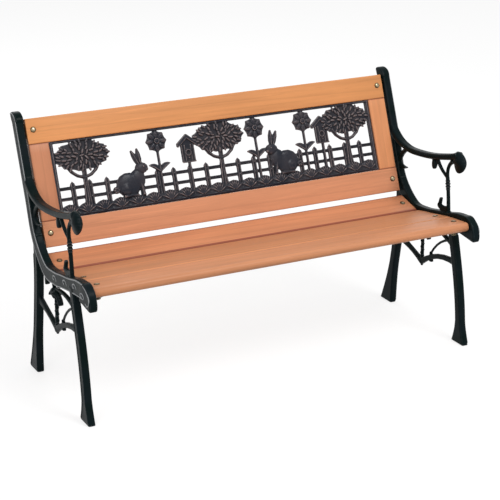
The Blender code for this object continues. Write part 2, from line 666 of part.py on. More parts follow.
def bolt_set(name, thickness, matrix, rise, x, parent, materials):
    """A bolt, its washer and its nut, on the axis of one fixing."""
    frame = Matrix.Translation((x, 0, 0)) @ matrix
    grip = grip_length(thickness)
    head = [(HEAD_RADIUS * math.cos(a), CLEAR + rise * math.sin(a)) for a in (1.3, 0.75, 0.0)]
    shank = [(BOLT_RADIUS, CLEAR), (BOLT_RADIUS, -NECK_DEPTH), (BOLT_RADIUS, -NECK_DEPTH - CLEAR),
             (BOLT_RADIUS, -grip - THREAD_PAST_NUT)]
    washer_z = -(thickness + LUG_THICKNESS + 2 * CLEAR + WASHER_THICKNESS)
    nut_z = washer_z - CLEAR - NUT_HEIGHT
    bore = BOLT_RADIUS + CLEAR

    def hexagon(angle):
        return NUT_ACROSS_FLATS / 2 / math.cos((angle + math.pi / 6) % (math.pi / 3) - math.pi / 6)

    pieces = (
        (f"{name}_bolt", turned(head + shank, square=(3, 4)), 0.0),
        (f"{name}_washer", tube(lambda angle: WASHER_RADIUS, bore, WASHER_THICKNESS), washer_z),
        (f"{name}_nut", tube(hexagon, bore, NUT_HEIGHT), nut_z),
    )
    for label, bm, z in pieces:
        piece = make_object(label, bm, parent)
        piece.matrix_local = frame @ Matrix.Translation((0, 0, z))
        finish(piece, materials["zinc"])


def end_frame(cutters):
    """The right-hand end: every bar of the casting fused, and drilled for the bolts."""
    leg_top = seat_point(seat_lines()[1], 0.10 * MIDDLE_SLAT_WIDTH, 0.4 * BAND_DEPTH).y
    rear_top = back_point(0.12 * BACK_HEIGHT, 0).y
    half = WEB_THICKNESS / 2
    parts = [bar(side_plane, band_stations(), CAST_MIDDLE_X, WEB_THICKNESS, CAST_EDGE)]
    parts.append(slab(side_plane, nose_outline(), CAST_MIDDLE_X - 1.03 * half, CAST_MIDDLE_X + 1.03 * half,
                      CAST_EDGE))
    parts.append(cap())
    parts.append(bar(side_plane, leg_stations(front_leg_y, leg_top, 1.5 * FOOT_RISE), LEG_MIDDLE_X,
                     LEG_THICKNESS, CAST_EDGE, level=True))
    parts.append(bar(side_plane, leg_stations(rear_leg_y, rear_top, 3 * FOOT_RISE), REAR_LEG_MIDDLE_X,
                     LEG_THICKNESS, CAST_EDGE, level=True))
    parts += arm_bars()
    parts += post_bars()
    parts.append(scroll_drop())
    parts += under_seat_bars()
    parts += [lug(place[1:3]) for place in fixings()]
    frame = fuse("right_end_frame", parts)
    combine(frame, cutters, "DIFFERENCE")
    return frame


def mirrored(name, source):
    """A copy of a body, mirrored across the middle of the bench."""
    bm = bmesh.new()
    bm.from_mesh(source.data)
    bmesh.ops.transform(bm, matrix=Matrix.Diagonal((-1, 1, 1, 1)), verts=bm.verts)
    return make_object(name, bm)


def slats(parent, cutters, materials):
    """The three seat boards; the front one has a full round nose."""
    for line in seat_lines():
        name, front, tilt, width = line
        nose = NOSE_RADIUS if name == "front" else SLAT_EDGE
        profile = board_profile((0, -SLAT_THICKNESS), (width, 0), (nose, SLAT_EDGE, SLAT_EDGE, nose), 3)
        clear_end = BOLT_X - LUG_END
        stations = (-SLAT_LENGTH / 2, -clear_end, clear_end, SLAT_LENGTH / 2)
        bm = bmesh.new()
        loft(bm, [[(x, y, z) for y, z in profile] for x in stations])
        slat = make_object(f"seat_slat_{name}", bm, parent, (0, *front), -tilt)
        bpy.context.view_layer.update()
        combine(slat, cutters[f"{name}_slat"], "DIFFERENCE")
        finish(slat, materials["wood"])


def back_boards(back, cutters, dowel_cutters, screw_cutters, materials):
    """Rails and stiles of the back, in the back's own frame."""
    radii = (WOOD_EDGE,) * 4
    for name, low, holes in (("bottom", 0, cutters["bottom_rail"]),
                             ("top", RAIL_HEIGHT + OPENING_HEIGHT, cutters["top_rail"])):
        profile = board_profile((0, low), (RAIL_THICKNESS, low + RAIL_HEIGHT), radii, 1)
        bm = bmesh.new()
        loft(bm, [[(x, y, z) for y, z in profile] for x in (-RAIL_LENGTH / 2, RAIL_LENGTH / 2)])
        rail = make_object(f"back_{name}_rail", bm, back)
        bpy.context.view_layer.update()
        combine(rail, holes + dowel_cutters + screw_cutters, "DIFFERENCE")
        finish(rail, materials["wood"])
    for name, side in (("left", -1), ("right", 1)):
        inner, outer = RAIL_LENGTH / 2 - STILE_WIDTH, RAIL_LENGTH / 2
        low, high = sorted((side * inner, side * outer))
        profile = board_profile((low, 0), (high, RAIL_THICKNESS), radii, 1)
        bm = bmesh.new()
        bottom, top = RAIL_HEIGHT + CLEAR, RAIL_HEIGHT + OPENING_HEIGHT - CLEAR
        loft(bm, [[(x, y, z) for x, y in profile] for z in (bottom, top)])
        stile = make_object(f"back_{name}_stile", bm, back)
        bpy.context.view_layer.update()
        combine(stile, dowel_cutters, "DIFFERENCE")
        finish(stile, materials["wood"])


def dowel_places():
    """Names and places of the dowels, two across each joint of a stile."""
    places = []
    for side, sign in (("left", -1), ("right", 1)):
        middle = sign * (RAIL_LENGTH - STILE_WIDTH) / 2
        for joint, height in (("bottom", RAIL_HEIGHT), ("top", RAIL_HEIGHT + OPENING_HEIGHT)):
            for number, offset in ((1, -DOWEL_SPACING / 2), (2, DOWEL_SPACING / 2)):
                place = (middle + offset, RAIL_THICKNESS / 2, height)
                places.append((f"{side}_{joint}_dowel_{number}", place))
    return places


def dowel(extra):
    """A dowel along Z, or with extra the hole that takes it."""
    half = DOWEL_LENGTH / 2 + extra
    return turned([(DOWEL_RADIUS + extra, -half), (DOWEL_RADIUS + extra, half)], SMALL_SIDES)


def screw_places():
    """Names and places of the panel's screws, in the middle of its ears."""
    places = []
    reach = (EAR_LENGTH + CLEAR) / 2
    deep = RAIL_THICKNESS + CLEAR + EAR_THICKNESS
    for edge, height in (("bottom", RAIL_HEIGHT - reach), ("top", RAIL_HEIGHT + OPENING_HEIGHT + reach)):
        for side, x in (("left", -EAR_SPREAD), ("middle", 0), ("right", EAR_SPREAD)):
            places.append((f"panel_{edge}_{side}_screw", (x, deep, height)))
    return places


def screw(extra):
    """A panel screw along Z: head on top, or with extra the hole that takes its shank."""
    radius = SCREW_RADIUS + extra
    tip = -SCREW_LENGTH - extra
    point = [(radius, tip + 2 * radius), (0.3 * radius, tip)]
    if extra:
        return turned([(radius, SCREW_HEAD_RISE), *point], SMALL_SIDES)
    wide = SCREW_HEAD_RADIUS
    head = [(0.7 * wide, CLEAR + SCREW_HEAD_RISE), (wide, CLEAR + 0.4 * SCREW_HEAD_RISE), (wide, CLEAR)]
    return turned([*head, (radius, CLEAR), *point], SMALL_SIDES)


def rim():
    """The panel's rectangular rim."""
    half = PANEL_HALF
    top = OPENING_HEIGHT - CLEAR
    outer = [(-half, CLEAR), (half, CLEAR), (half, top), (-half, top)]
    half -= RIM_SIDE
    top = OPENING_HEIGHT - RIM_TOP
    inner = [(-half, RIM_BOTTOM), (half, RIM_BOTTOM), (half, top), (-half, top)]
    front, back = PANEL_SETBACK, PANEL_SETBACK + PANEL_DEPTH
    bm = bmesh.new()
    loops = [[bm.verts.new((x, y, z)) for x, z in outline]
             for outline, y in ((outer, front), (outer, back), (inner, back), (inner, front))]
    for lower, upper in zip(loops, loops[1:] + loops[:1]):
        for i in range(4):
            j = (i + 1) % 4
            bm.faces.new((lower[i], lower[j], upper[j], upper[i]))
    return make_object("rim", bm)


def ear(x, top):
    """A bent tab behind the rail, which the panel is screwed on by."""
    near, far = RAIL_THICKNESS + CLEAR, RAIL_THICKNESS + CLEAR + EAR_THICKNESS
    root = PANEL_SETBACK + 0.5 * PANEL_DEPTH
    low, high, end = RIM_TOP - CLEAR, 2 * CLEAR, -EAR_LENGTH
    outline = [(root, low), (far, low), (far, end), (near, end), (near, high), (root, high)]
    if top:
        outline = [(y, OPENING_HEIGHT - z) for y, z in outline]
    bm = bmesh.new()
    loft(bm, [[(edge, y, z) for y, z in outline] for edge in (x - EAR_WIDTH / 2, x + EAR_WIDTH / 2)])
    return make_object("ear", bm)


def motif(outline, front_share, back_share):
    """A flat figure in the panel, between two shares of its depth."""
    front = PANEL_SETBACK + front_share * PANEL_DEPTH
    return slab(back_plane, outline, front, PANEL_SETBACK + back_share * PANEL_DEPTH)


def stroke(stations, front_share, back_share):
    """A flat bar in the panel along the stations, between two shares of its depth."""
    left, right = [], []
    for i, station in enumerate(stations):
        way = stations[min(i + 1, len(stations) - 1)] - stations[max(i - 1, 0)]
        side = Vector((-way.y, way.x)).normalized() * station.z / 2
        left.append((station.x + side.x, station.y + side.y))
        right.append((station.x - side.x, station.y - side.y))
    return motif(right + left[::-1], front_share, back_share)


def grass():
    """A hedge of round tufts along the bottom rim."""
    half = PANEL_HALF - RIM_SIDE / 2
    tufts = round(2 * half / TUFT_WIDTH)
    steps = 4
    crest = []
    for i in range(tufts * steps + 1):
        share = i / (tufts * steps)
        rise = 0.55 + 0.45 * abs(math.sin(math.pi * tufts * share))
        crest.append((half - 2 * half * share, RIM_BOTTOM + (GRASS_HEIGHT - RIM_BOTTOM) * rise))
    return motif([(-half, RIM_BOTTOM / 2), (half, RIM_BOTTOM / 2), *crest], 0.10, 0.90)


def tree(x):
    """A tree with two boughs, whose round crown meets the top rim."""
    lobes = 2 * CROWN_LOBE_DEPTH / CROWN_WIDTH
    crown_z = OPENING_HEIGHT - CLEAR - RIM_TOP / 2 - (1 + lobes) * CROWN_HEIGHT / 2
    crown = lobed((x, crown_z), CROWN_WIDTH / 2, lobes, 11, 33, CROWN_HEIGHT / CROWN_WIDTH)
    fork_z = crown_z - 0.75 * CROWN_HEIGHT
    trunk = bow((x, RIM_BOTTOM), (x, crown_z), 0, (1.8 * TRUNK_WIDTH, 0.8 * TRUNK_WIDTH, TRUNK_WIDTH))
    parts = [motif(crown, 0.12, 0.84), stroke(trunk, 0.22, 0.80)]
    for side in (-1, 1):
        bough = bow((x, fork_z), (x + side * 0.3 * CROWN_WIDTH, crown_z - 0.3 * CROWN_HEIGHT),
                    -side * 0.1 * CROWN_HEIGHT, (0.6 * TRUNK_WIDTH,) * 3, 3)
        parts.append(stroke(bough, 0.27, 0.77))
    return parts


def tall_flower(x):
    """A stem with two leaves and a petalled head."""
    size = BLOSSOM_RADIUS
    head = (x, BLOSSOM_HEIGHT)
    stem = bow((x, RIM_BOTTOM), head, 0, (0.25 * size,) * 3, 2)
    parts = [stroke(stem, 0.20, 0.74), motif(lobed(head, size, 0.10, 8, 24), 0.05, 0.70)]
    for side in (-1, 1):
        leaf = bow((x, FENCE_HEIGHT), (x + side * 1.1 * size, FENCE_HEIGHT + 0.7 * size),
                   side * 0.2 * size, (0.2 * size, 0.5 * size, 0.1 * size))
        parts.append(stroke(leaf, 0.16, 0.66))
    return parts


def fence():
    """Two rails with pointed pales, right across the panel."""
    half = PANEL_HALF - RIM_SIDE / 2
    parts = []
    for low in (GRASS_HEIGHT + FENCE_RAIL, FENCE_HEIGHT - 1.5 * FENCE_RAIL):
        high = low + FENCE_RAIL
        parts.append(motif([(-half, low), (half, low), (half, high), (-half, high)], 0.50, 0.88))
    count = int((half - PALE_WIDTH) / PALE_SPACING)
    wide = PALE_WIDTH / 2
    for number in range(-count, count + 1):
        x = number * PALE_SPACING
        pale = [(x - wide, RIM_BOTTOM), (x + wide, RIM_BOTTOM), (x + wide, FENCE_HEIGHT),
                (x, FENCE_HEIGHT + 1.2 * wide), (x - wide, FENCE_HEIGHT)]
        parts.append(motif(pale, 0.42, 0.92))
    return parts


def rabbit(x, facing):
    """A sitting rabbit, which faces +X or -X; its places are shares of its length."""
    size = RABBIT_LENGTH
    ground = GRASS_HEIGHT - 0.06 * size

    def place(across, up):
        return (x + facing * across * size, ground + up * size)

    def oval(across, up, radius, stretch, front, back):
        return motif(lobed(place(across, up), radius * size, 0, 1, 14, stretch), front, back)

    def limb(start, end, widths, front, back):
        stations = bow(place(*start), place(*end), 0, [width * size for width in widths], 3)
        return stroke(stations, front, back)

    return [
        oval(-0.10, 0.34, 0.36, 0.92, 0.02, 0.60),
        oval(0.18, 0.46, 0.22, 1.25, 0.06, 0.56),
        oval(0.33, 0.74, 0.19, 0.80, 0.00, 0.52),
        oval(-0.47, 0.24, 0.10, 1.00, 0.08, 0.50),
        limb((0.28, 0.82), (0.10, 1.24), (0.09, 0.15, 0.05), 0.14, 0.58),
        limb((0.32, 0.84), (0.28, 1.28), (0.09, 0.15, 0.05), 0.18, 0.62),
        limb((0.24, 0.40), (0.30, 0.00), (0.16, 0.11, 0.12), 0.04, 0.54),
        limb((-0.30, 0.04), (0.14, 0.04), (0.12, 0.11, 0.10), 0.07, 0.64),
    ]


def bird_house(x):
    """A gabled bird house on a pole."""
    wide = BIRD_HOUSE_WIDTH / 2
    ridge = OPENING_HEIGHT - RIM_TOP - BIRD_HOUSE_DROP
    eaves, floor = ridge - 1.5 * wide, ridge - 3.8 * wide
    pole = bow((x, RIM_BOTTOM), (x, floor + 0.3 * wide), 0, (0.5 * wide, 0.4 * wide, 0.4 * wide), 2)
    walls = [(x - wide, floor), (x + wide, floor), (x + wide, eaves + 0.4 * wide), (x, ridge - 0.3 * wide),
             (x - wide, eaves + 0.4 * wide)]
    left, right = x - 1.5 * wide, x + 1.5 * wide
    low, high = eaves - 0.2 * wide, eaves + 0.3 * wide
    roof = [(left, low), (x, ridge - 0.6 * wide), (right, low), (right, high), (x, ridge), (left, high)]
    return [stroke(pole, 0.24, 0.78), motif(walls, 0.18, 0.72), motif(roof, 0.03, 0.76)]


def panel(back, screw_cutters, materials):
    """The cast panel: a garden with trees, flowers, bird houses, a fence and rabbits."""
    parts = [rim(), grass()]
    for x in (-EAR_SPREAD, 0, EAR_SPREAD):
        parts += [ear(x, False), ear(x, True)]
    for place in (-1, 0, 1):
        parts += tree(place * TREE_SPACING)
    parts += fence()
    for place, facing in ((-0.68, 1), (0.47, -1)):
        parts += rabbit(place * TREE_SPACING, facing)
    for place in (-0.46, 0.28, 0.66):
        parts += tall_flower(place * TREE_SPACING)
    for place in (-0.24, 0.80):
        parts += bird_house(place * TREE_SPACING)
    casting = fuse("back_panel", parts)
    casting.parent = back
    casting.location.z = RAIL_HEIGHT
    bpy.context.view_layer.update()
    combine(casting, screw_cutters, "DIFFERENCE")
    finish(casting, materials["bronze"])


def centre_on_origin(root):
    """Moves the whole bench so that the middle of its box stands over the origin."""
    bpy.context.view_layer.update()
    depths = [(obj.matrix_world @ vertex.co).y for obj in bpy.data.objects if obj.type == "MESH"
              for vertex in obj.data.vertices]
    root.location.y = -(min(depths) + max(depths)) / 2


def main():
    clear_scene()
    materials = {
        "iron": make_material("cast_iron", (0.012, 0.017, 0.017), 0.42, 0.6),
        "wood": make_material("hardwood", (0.66, 0.27, 0.10), 0.45, 0.0),
        "bronze": make_material("dark_bronze", (0.045, 0.040, 0.045), 0.45, 0.6),
        "zinc": make_material("yellow_zinc", (0.62, 0.52, 0.33), 0.3, 1.0),
        "dowel": make_material("beech", (0.70, 0.50, 0.31), 0.6, 0.0),
    }
    bench = make_empty("bench")
    back = make_empty("back", (0, *back_foot()), -BACK_LEAN, bench)
    bpy.context.view_layer.update()

    cutters = {}
    for name, thickness, matrix, _ in fixings():
        cutters[name] = [hole_cutter(thickness, matrix, x) for x in (-BOLT_X, BOLT_X)]
    all_holes = [cutter for pair in cutters.values() for cutter in pair]

    right = end_frame([pair[1] for pair in cutters.values()])
    left = mirrored("left_end_frame", right)
    for frame in (left, right):
        frame.parent = bench
        finish(frame, materials["iron"])

    dowel_cutters = [make_object("dowel_hole", dowel(CLEAR), back, place) for _, place in dowel_places()]
    screw_cutters = [make_object("screw_hole", screw(CLEAR), back, place, -math.pi / 2)
                     for _, place in screw_places()]
    slats(bench, cutters, materials)
    back_boards(back, cutters, dowel_cutters, screw_cutters, materials)
    panel(back, screw_cutters, materials)
    for name, place in dowel_places():
        finish(make_object(name, dowel(0.0), back, place), materials["dowel"])
    for name, place in screw_places():
        finish(make_object(name, screw(0.0), back, place, -math.pi / 2), materials["zinc"])
    for name, thickness, matrix, rise in fixings():
        for side, x in (("left", -BOLT_X), ("right", BOLT_X)):
            bolt_set(f"{side}_{name}", thickness, matrix, rise, x, bench, materials)

    remove(all_holes + dowel_cutters + screw_cutters)
    centre_on_origin(bench)


main()
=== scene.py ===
"""The child's bench, dressed: varnished boards, cast ends with relief and a cast garden panel."""
import math

import bmesh
import bpy
import numpy as np
from mathutils import Matrix, Vector


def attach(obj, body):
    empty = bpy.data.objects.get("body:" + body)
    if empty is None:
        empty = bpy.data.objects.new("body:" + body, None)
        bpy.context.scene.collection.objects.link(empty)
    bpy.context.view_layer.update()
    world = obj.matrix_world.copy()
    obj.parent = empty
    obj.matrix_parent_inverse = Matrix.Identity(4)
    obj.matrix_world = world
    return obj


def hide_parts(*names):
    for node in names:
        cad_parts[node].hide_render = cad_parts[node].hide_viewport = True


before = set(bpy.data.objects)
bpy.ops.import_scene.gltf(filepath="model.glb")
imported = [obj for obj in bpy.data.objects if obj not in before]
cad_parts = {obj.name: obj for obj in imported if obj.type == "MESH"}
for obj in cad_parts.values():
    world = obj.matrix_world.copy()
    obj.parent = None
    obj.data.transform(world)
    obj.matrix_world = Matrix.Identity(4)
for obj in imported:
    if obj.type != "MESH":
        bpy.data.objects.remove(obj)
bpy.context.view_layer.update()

# Where the profile's own origin stands in the frame
SHIFT_Y = -0.041845

# Wooden back
RAIL_LENGTH = 0.800
RAIL_HEIGHT = 0.050
RAIL_THICKNESS = 0.014
RAIL_EDGE = 0.002
STILE_WIDTH = 0.040
OPENING_HEIGHT = 0.151
BACK_LEAN = math.radians(21.4)
BACK_OFFSET = 0.0015
BACK_GAP = 0.0096
BACK_HEIGHT = 2 * RAIL_HEIGHT + OPENING_HEIGHT
CLEAR = 0.0003

# Seat; each slat has a name, a tilt in degrees, a width and a gap behind it
SLATS = (("front", 5.0, 0.064, 0.0005), ("middle", 9.6, 0.120, 0.005), ("rear", -14.0, 0.064, 0.0))
SLAT_LENGTH = 0.806
SLAT_THICKNESS = 0.018
SLAT_EDGE = 0.003
SEAT_FRONT = Vector((-0.135, 0.2715))
NOSE_RADIUS = 0.0085

# Boards: eased ends, steps round a corner, and the width of the painted shade strip at a seam
BOARD_EASE = 0.0009
CORNER_STEPS = 8
SEAM_SHADE = 0.0055

# Cast ends
CAST_INNER_X = 0.404
WEB_THICKNESS = 0.016
CAST_MIDDLE_X = CAST_INNER_X + WEB_THICKNESS / 2
CAST_OUTER_X = CAST_INNER_X + WEB_THICKNESS
PROUD, SEAT_PROUD = 0.004, 0.0065
LUG_THICKNESS = 0.004
BAND_DEPTH = SEAT_PROUD + SLAT_THICKNESS + CLEAR + LUG_THICKNESS
UPRIGHT_DEPTH = PROUD + RAIL_THICKNESS + CLEAR + LUG_THICKNESS
UPRIGHT_LOW = 0.30
CAP_RISE = 0.0185
NOSE_SWELL = 0.0038
LEG_OUTER_X, REAR_LEG_OUTER_X = 0.421, 0.4193
LEG_WIDTH = 0.019
FRONT_FOOT_Y = -0.107
REAR_FOOT_Y = 0.170
REAR_LEG_SETBACK, REAR_LEG_BEND = 0.002, 1.3
FOOT_LENGTH = 0.044
FOOT_RISE = 0.032
FOOT_BEND = 1.5
KNEE_Z = 0.225
POST_Y = -0.047
POST_LEAN, POST_LEAN_LOW, POST_LEAN_HEIGHT = 0.006, 0.29, 0.049
JUNCTION = Vector((0.041, 0.132))
FLOWER = Vector((0.041, 0.207))
FLOWER_RADIUS = 0.0105
VINE_WIDTH = 0.010

# Raised lines on the ends' outer faces; the cap's line is in shares of its rise and of the upright's depth
LINE_RADIUS, LINE_SINK, LINE_INSET = 0.0012, 0.0003, 0.0026
NOSE_LINE = ((-0.131, 0.2455), (-0.140, 0.2430), (-0.1465, 0.2480), (-0.1480, 0.2560), (-0.1440, 0.2640),
             (-0.134, 0.2720), (-0.121, 0.2760))
CAP_LINE = ((0.00, 0.12), (0.40, 0.25), (0.70, 0.53), (0.83, 0.82), (0.85, 1.02))
NOSE_SCROLL = Vector((-0.1154, 0.2546))
SCROLL_PLACES = (-0.076, -0.029, 0.025)
SCROLL_LINE = ((0.0010, -0.0010), (0.0040, -0.0026), (0.0072, -0.0002), (0.0062, 0.0036), (0.0010, 0.0052),
               (-0.0050, 0.0040), (-0.0085, 0.0004), (-0.0098, -0.0042))
SCROLL_SINK = 0.0002
SCROLL_HEAD, SCROLL_BODY, SCROLL_TAIL = [0.0017] * 4, [0.0014], [0.0012, 0.0011, 0.0009, 0.0006]

# Relief of the legs and of the post, whose beads are (z, radius) pairs
LEG_RIM_RADIUS, LEG_RIM_SINK, LEG_RIM_LOW, LEG_RIM_STEPS = 0.0016, 0.0004, 0.004, 24
FRONT_RIM_TOP, REAR_RIM_TOP = 0.225, 0.255
POST_BEADS = ((0.3165, 0.0050), (0.3215, 0.0056), (0.3275, 0.0059), (0.3330, 0.0053))
BEAD_RISE, BEAD_FORWARD = 0.0027, 0.0005
BOSS_RADIUS, BOSS_DROP = 0.0060, 0.001
BUD_RADIUS, BUD_DROP = 0.0030, 0.007

# Flower and stem: a rib is (reach, x) pairs, and a leaf reaches in flower radii and sags in vine widths
PETAL_ANGLES = [math.pi / 3 * number + 0.3 for number in range(6)]
PETAL_SIZE, PETAL_REACH, PETAL_X = (0.0024, 0.0048, 0.0031), 0.0064, 0.0058
BUTTON_SIZE, BUTTON_RISE = (0.0030, 0.0038, 0.0038), 0.0010
SPIRAL_TURNS, SPIRAL_STEPS, SPIRAL_FOOT = 4.5, 64, 0.008
SPIRAL_REACH_Y, SPIRAL_REACH_X = 0.0036, 0.0038
PETAL_RIB, PETAL_RIB_RADII = ((0.0030, 0.0084), (0.0064, 0.0084), (0.0104, 0.0064)), [0.0010, 0.0010, 0.0006]
LEAVES = (((-2.25, -1.85), -0.5), ((2.75, -1.35), 0.6))
LEAF_RIB_X, LEAF_RIB_RADII = 0.0046, [0.0013] * 8 + [0.0007]

# Panel; each ring of a crown's leaves has a share of the crown's reach and a count
PANEL_FRONT = 0.0025
PANEL_HALF = RAIL_LENGTH / 2 - STILE_WIDTH - CLEAR
RIM_SIDE, RIM_TOP, RIM_BOTTOM = 0.008, 0.005, 0.008
RIM_LINE_INSET, RIM_LINE_TOP_INSET = 0.0045, 0.0030
CROWN_WIDTH, CROWN_HEIGHT, CROWN_LOBE_DEPTH = 0.112, 0.058, 0.0034
CROWN_RINGS = ((0.93, 24), (0.72, 19), (0.50, 13), (0.27, 8), (0.0, 1))
TREE_SPACING = PANEL_HALF - RIM_SIDE / 2 - CROWN_WIDTH / 2 - CROWN_LOBE_DEPTH
TRUNK_WIDTH = 0.011
GRASS_HEIGHT, TUFT_WIDTH = 0.026, 0.036
FENCE_HEIGHT, FENCE_RAIL, PALE_WIDTH, PALE_SPACING = 0.064, 0.007, 0.010, 0.036
BLOSSOM_RADIUS, BLOSSOM_PETAL_REACH, BLOSSOM_SEED_REACH = 0.021, 0.0132, 0.0046
RABBIT_LENGTH = 0.074
BIRD_HOUSE_WIDTH, BIRD_HOUSE_DROP = 0.030, 0.014
EAR_INSET = 0.090
EAR_SPREAD = PANEL_HALF - EAR_INSET
EAR_THICKNESS, EAR_LENGTH = 0.003, 0.016

# Fixings
BOLT_INSET = 0.0134
BOLT_X = RAIL_LENGTH / 2 - BOLT_INSET
TOP_BOLT_UP, BOTTOM_BOLT_UP, SLAT_BOLT_BACK = 0.0275, 0.027, 0.030
BOLT_RADIUS, HEAD_RADIUS, HEAD_RISE, SEAT_HEAD_RISE = 0.003, 0.0056, 0.0028, 0.0016
HEAD_SKIRT, HEAD_EASE = 0.0004, 0.0001
THREAD_DEPTH, THREAD_STEPS, THREAD_END = 0.0003, 22, 0.0004
TIP_LENGTH, TIP_CHAMFER = 0.001, 0.0008
AXIS_GAP = 0.0002
WASHER_RADIUS, WASHER_THICKNESS, WASHER_EASE = 0.0065, 0.0012, 0.0002
NUT_ACROSS_FLATS, NUT_HEIGHT = 0.010, 0.004
NUT_CLEAR, NUT_BORE_EASE, NUT_EASE, NUT_ROUNDING = 0.0001, 0.0004, 0.0006, 1.01
SCREW_HEAD_RADIUS, SCREW_HEAD_RISE, SCREW_SKIRT = 0.0036, 0.0022, 0.0005
SCREW_RADIUS, SCREW_SHANK, SCREW_TIP, SCREW_LENGTH = 0.0018, 0.0084, 0.0005, 0.012
RECESS_SIZE = (0.0042, 0.0009, 0.0022)

# Size of the grid that the castings are re-skinned on, and how close points are welded before it
END_VOXEL = 0.0008
PANEL_VOXEL = 0.0007
WELD = 1e-6

# Camera and studio; each lamp has a name, a place, a width and a power
CAMERA_AZIMUTH, CAMERA_ELEVATION = math.radians(-27.24), math.radians(19.75)
CAMERA_PLACE = (-1.3687, -2.6180 + SHIFT_Y, 1.2982)
CAMERA_LENS, CAMERA_SENSOR = 114.5, 36.0
LAMPS = (("key", (0.7, -2.1, 2.9), 1.4, 52.0), ("fill", (-2.4, -1.9, 1.7), 1.6, 20.0),
         ("back_light", (0.4, 2.4, 2.2), 1.6, 18.0))
LAMP_AIM = (0, 0, 0.3)
WORLD_LIGHT = 0.55
FLOOR_SIZE, FLOOR_DROP = 20.0, 0.0002
FLOOR_GREY, SEEN_FLOOR_GREY, SEEN_FLOOR_GLOW = 0.42, 0.30, 0.76


# Profile of the bench, as (y, z) pairs

def seat_lines():
    """The slats' top lines: front edge, tilt and width of each."""
    front, lines = SEAT_FRONT, {}
    for number, (name, degrees, width, gap) in enumerate(SLATS):
        tilt = math.radians(degrees)
        lines[name] = (front, tilt, width)
        if number + 1 < len(SLATS):
            turn = math.radians(SLATS[number + 1][1]) - tilt
            gap += 2 * SLAT_THICKNESS * math.tan(max(turn, 0) / 2)
        front = front + (width + gap) * Vector((math.cos(tilt), -math.sin(tilt)))
    return lines


LINES = seat_lines()


def seat_point(name, share, deep):
    """A point of a slat's section: a share of its width back, and below its top."""
    front, tilt, width = LINES[name]
    along = share * width
    return front + Vector((along * math.cos(tilt) - deep * math.sin(tilt),
                           -along * math.sin(tilt) - deep * math.cos(tilt)))


BACK_FOOT = seat_point("rear", 1.0, 0) + Vector((BACK_OFFSET, BACK_GAP))


def back_point(up, deep):
    """A point of the back's section: up along it, and behind its front."""
    return BACK_FOOT + Vector((up * math.sin(BACK_LEAN) + deep * math.cos(BACK_LEAN),
                               up * math.cos(BACK_LEAN) - deep * math.sin(BACK_LEAN)))


def curve_through(stations, steps):
    """A smooth curve through the stations, whose values are all interpolated."""
    points = [Vector(station) for station in stations]
    points = [2 * points[0] - points[1], *points, 2 * points[-1] - points[-2]]
    curve = []
    for i in range(1, len(points) - 2):
        a, b, c, d = points[i - 1:i + 3]
        for step in range(steps):
            t = step / steps
            curve.append(0.5 * (2 * b + (c - a) * t + (2 * a - 5 * b + 4 * c - d) * t ** 2
                                + (3 * b - a - 3 * c + d) * t ** 3))
    return curve + [points[-2]]


def band_curve(steps):
    """Middle line and width of the seat band and upright."""
    deep = BAND_DEPTH / 2 - SEAT_PROUD
    swollen = BAND_DEPTH + NOSE_SWELL
    stations = [(*seat_point("front", share, deep - NOSE_SWELL / 2), swollen) for share in (0.25, 0.75)]
    stations += [(*seat_point("middle", share, deep), BAND_DEPTH) for share in (0.15, 0.50, 0.85)]
    stations.append((*seat_point("rear", 0.40, deep), BAND_DEPTH))
    deep = UPRIGHT_DEPTH / 2 - PROUD
    stations += [(*back_point(share * BACK_HEIGHT, deep), UPRIGHT_DEPTH) for share in (0.10, 0.40, 0.70)]
    stations.append((*back_point(BACK_HEIGHT, deep), UPRIGHT_DEPTH))
    return curve_through(stations, steps)


def front_leg_y(z):
    top = seat_point("middle", 0.10, BAND_DEPTH / 2)
    return top.x + (FRONT_FOOT_Y - top.x) * math.sin(math.pi / 2 * (1 - z / top.y))


def rear_leg_y(z):
    top = back_point(0.10 * BACK_HEIGHT, UPRIGHT_DEPTH / 2 - PROUD).x - REAR_LEG_SETBACK
    return top + (REAR_FOOT_Y - top) * max(1 - z / KNEE_Z, 0) ** REAR_LEG_BEND


def fixings():
    """Name, wood thickness and frame of each bolt at the bench's middle; Z leaves the wood's face."""
    places = []
    rails = (("bottom_rail", BOTTOM_BOLT_UP), ("top_rail", RAIL_HEIGHT + OPENING_HEIGHT + TOP_BOLT_UP))
    for name, up in rails:
        y, z = back_point(up, 0)
        turn = Matrix.Rotation(math.pi / 2 - BACK_LEAN, 4, "X")
        places.append((name, RAIL_THICKNESS, Matrix.Translation((0, y + SHIFT_Y, z)) @ turn))
    for name, (_, tilt, width) in LINES.items():
        share = 0.5 if name == "rear" else SLAT_BOLT_BACK / width
        y, z = seat_point(name, share, 0)
        turn = Matrix.Rotation(-tilt, 4, "X")
        places.append((f"{name}_slat", SLAT_THICKNESS, Matrix.Translation((0, y + SHIFT_Y, z)) @ turn))
    return places


BACK = Matrix.Translation((0, BACK_FOOT.x + SHIFT_Y, BACK_FOOT.y)) @ Matrix.Rotation(-BACK_LEAN, 4, "X")


# Mesh tools

def to_mesh(name, bm):
    mesh = bpy.data.meshes.new(name)
    bm.to_mesh(mesh)
    bm.free()
    return mesh


def add_object(name, data):
    """A new object in the scene around a mesh, a lamp or a camera."""
    obj = bpy.data.objects.new(name, data)
    bpy.context.scene.collection.objects.link(obj)
    return obj


def new_object(name, bm):
    return add_object(name, to_mesh(name, bm))


def once_round(count):
    """Angles in equal steps, once round."""
    return [2 * math.pi * i / count for i in range(count)]


def bridge(bm, lower, upper):
    """Faces between two loops of equally many points."""
    for i in range(len(lower)):
        j = (i + 1) % len(lower)
        bm.faces.new((lower[i], lower[j], upper[j], upper[i]))


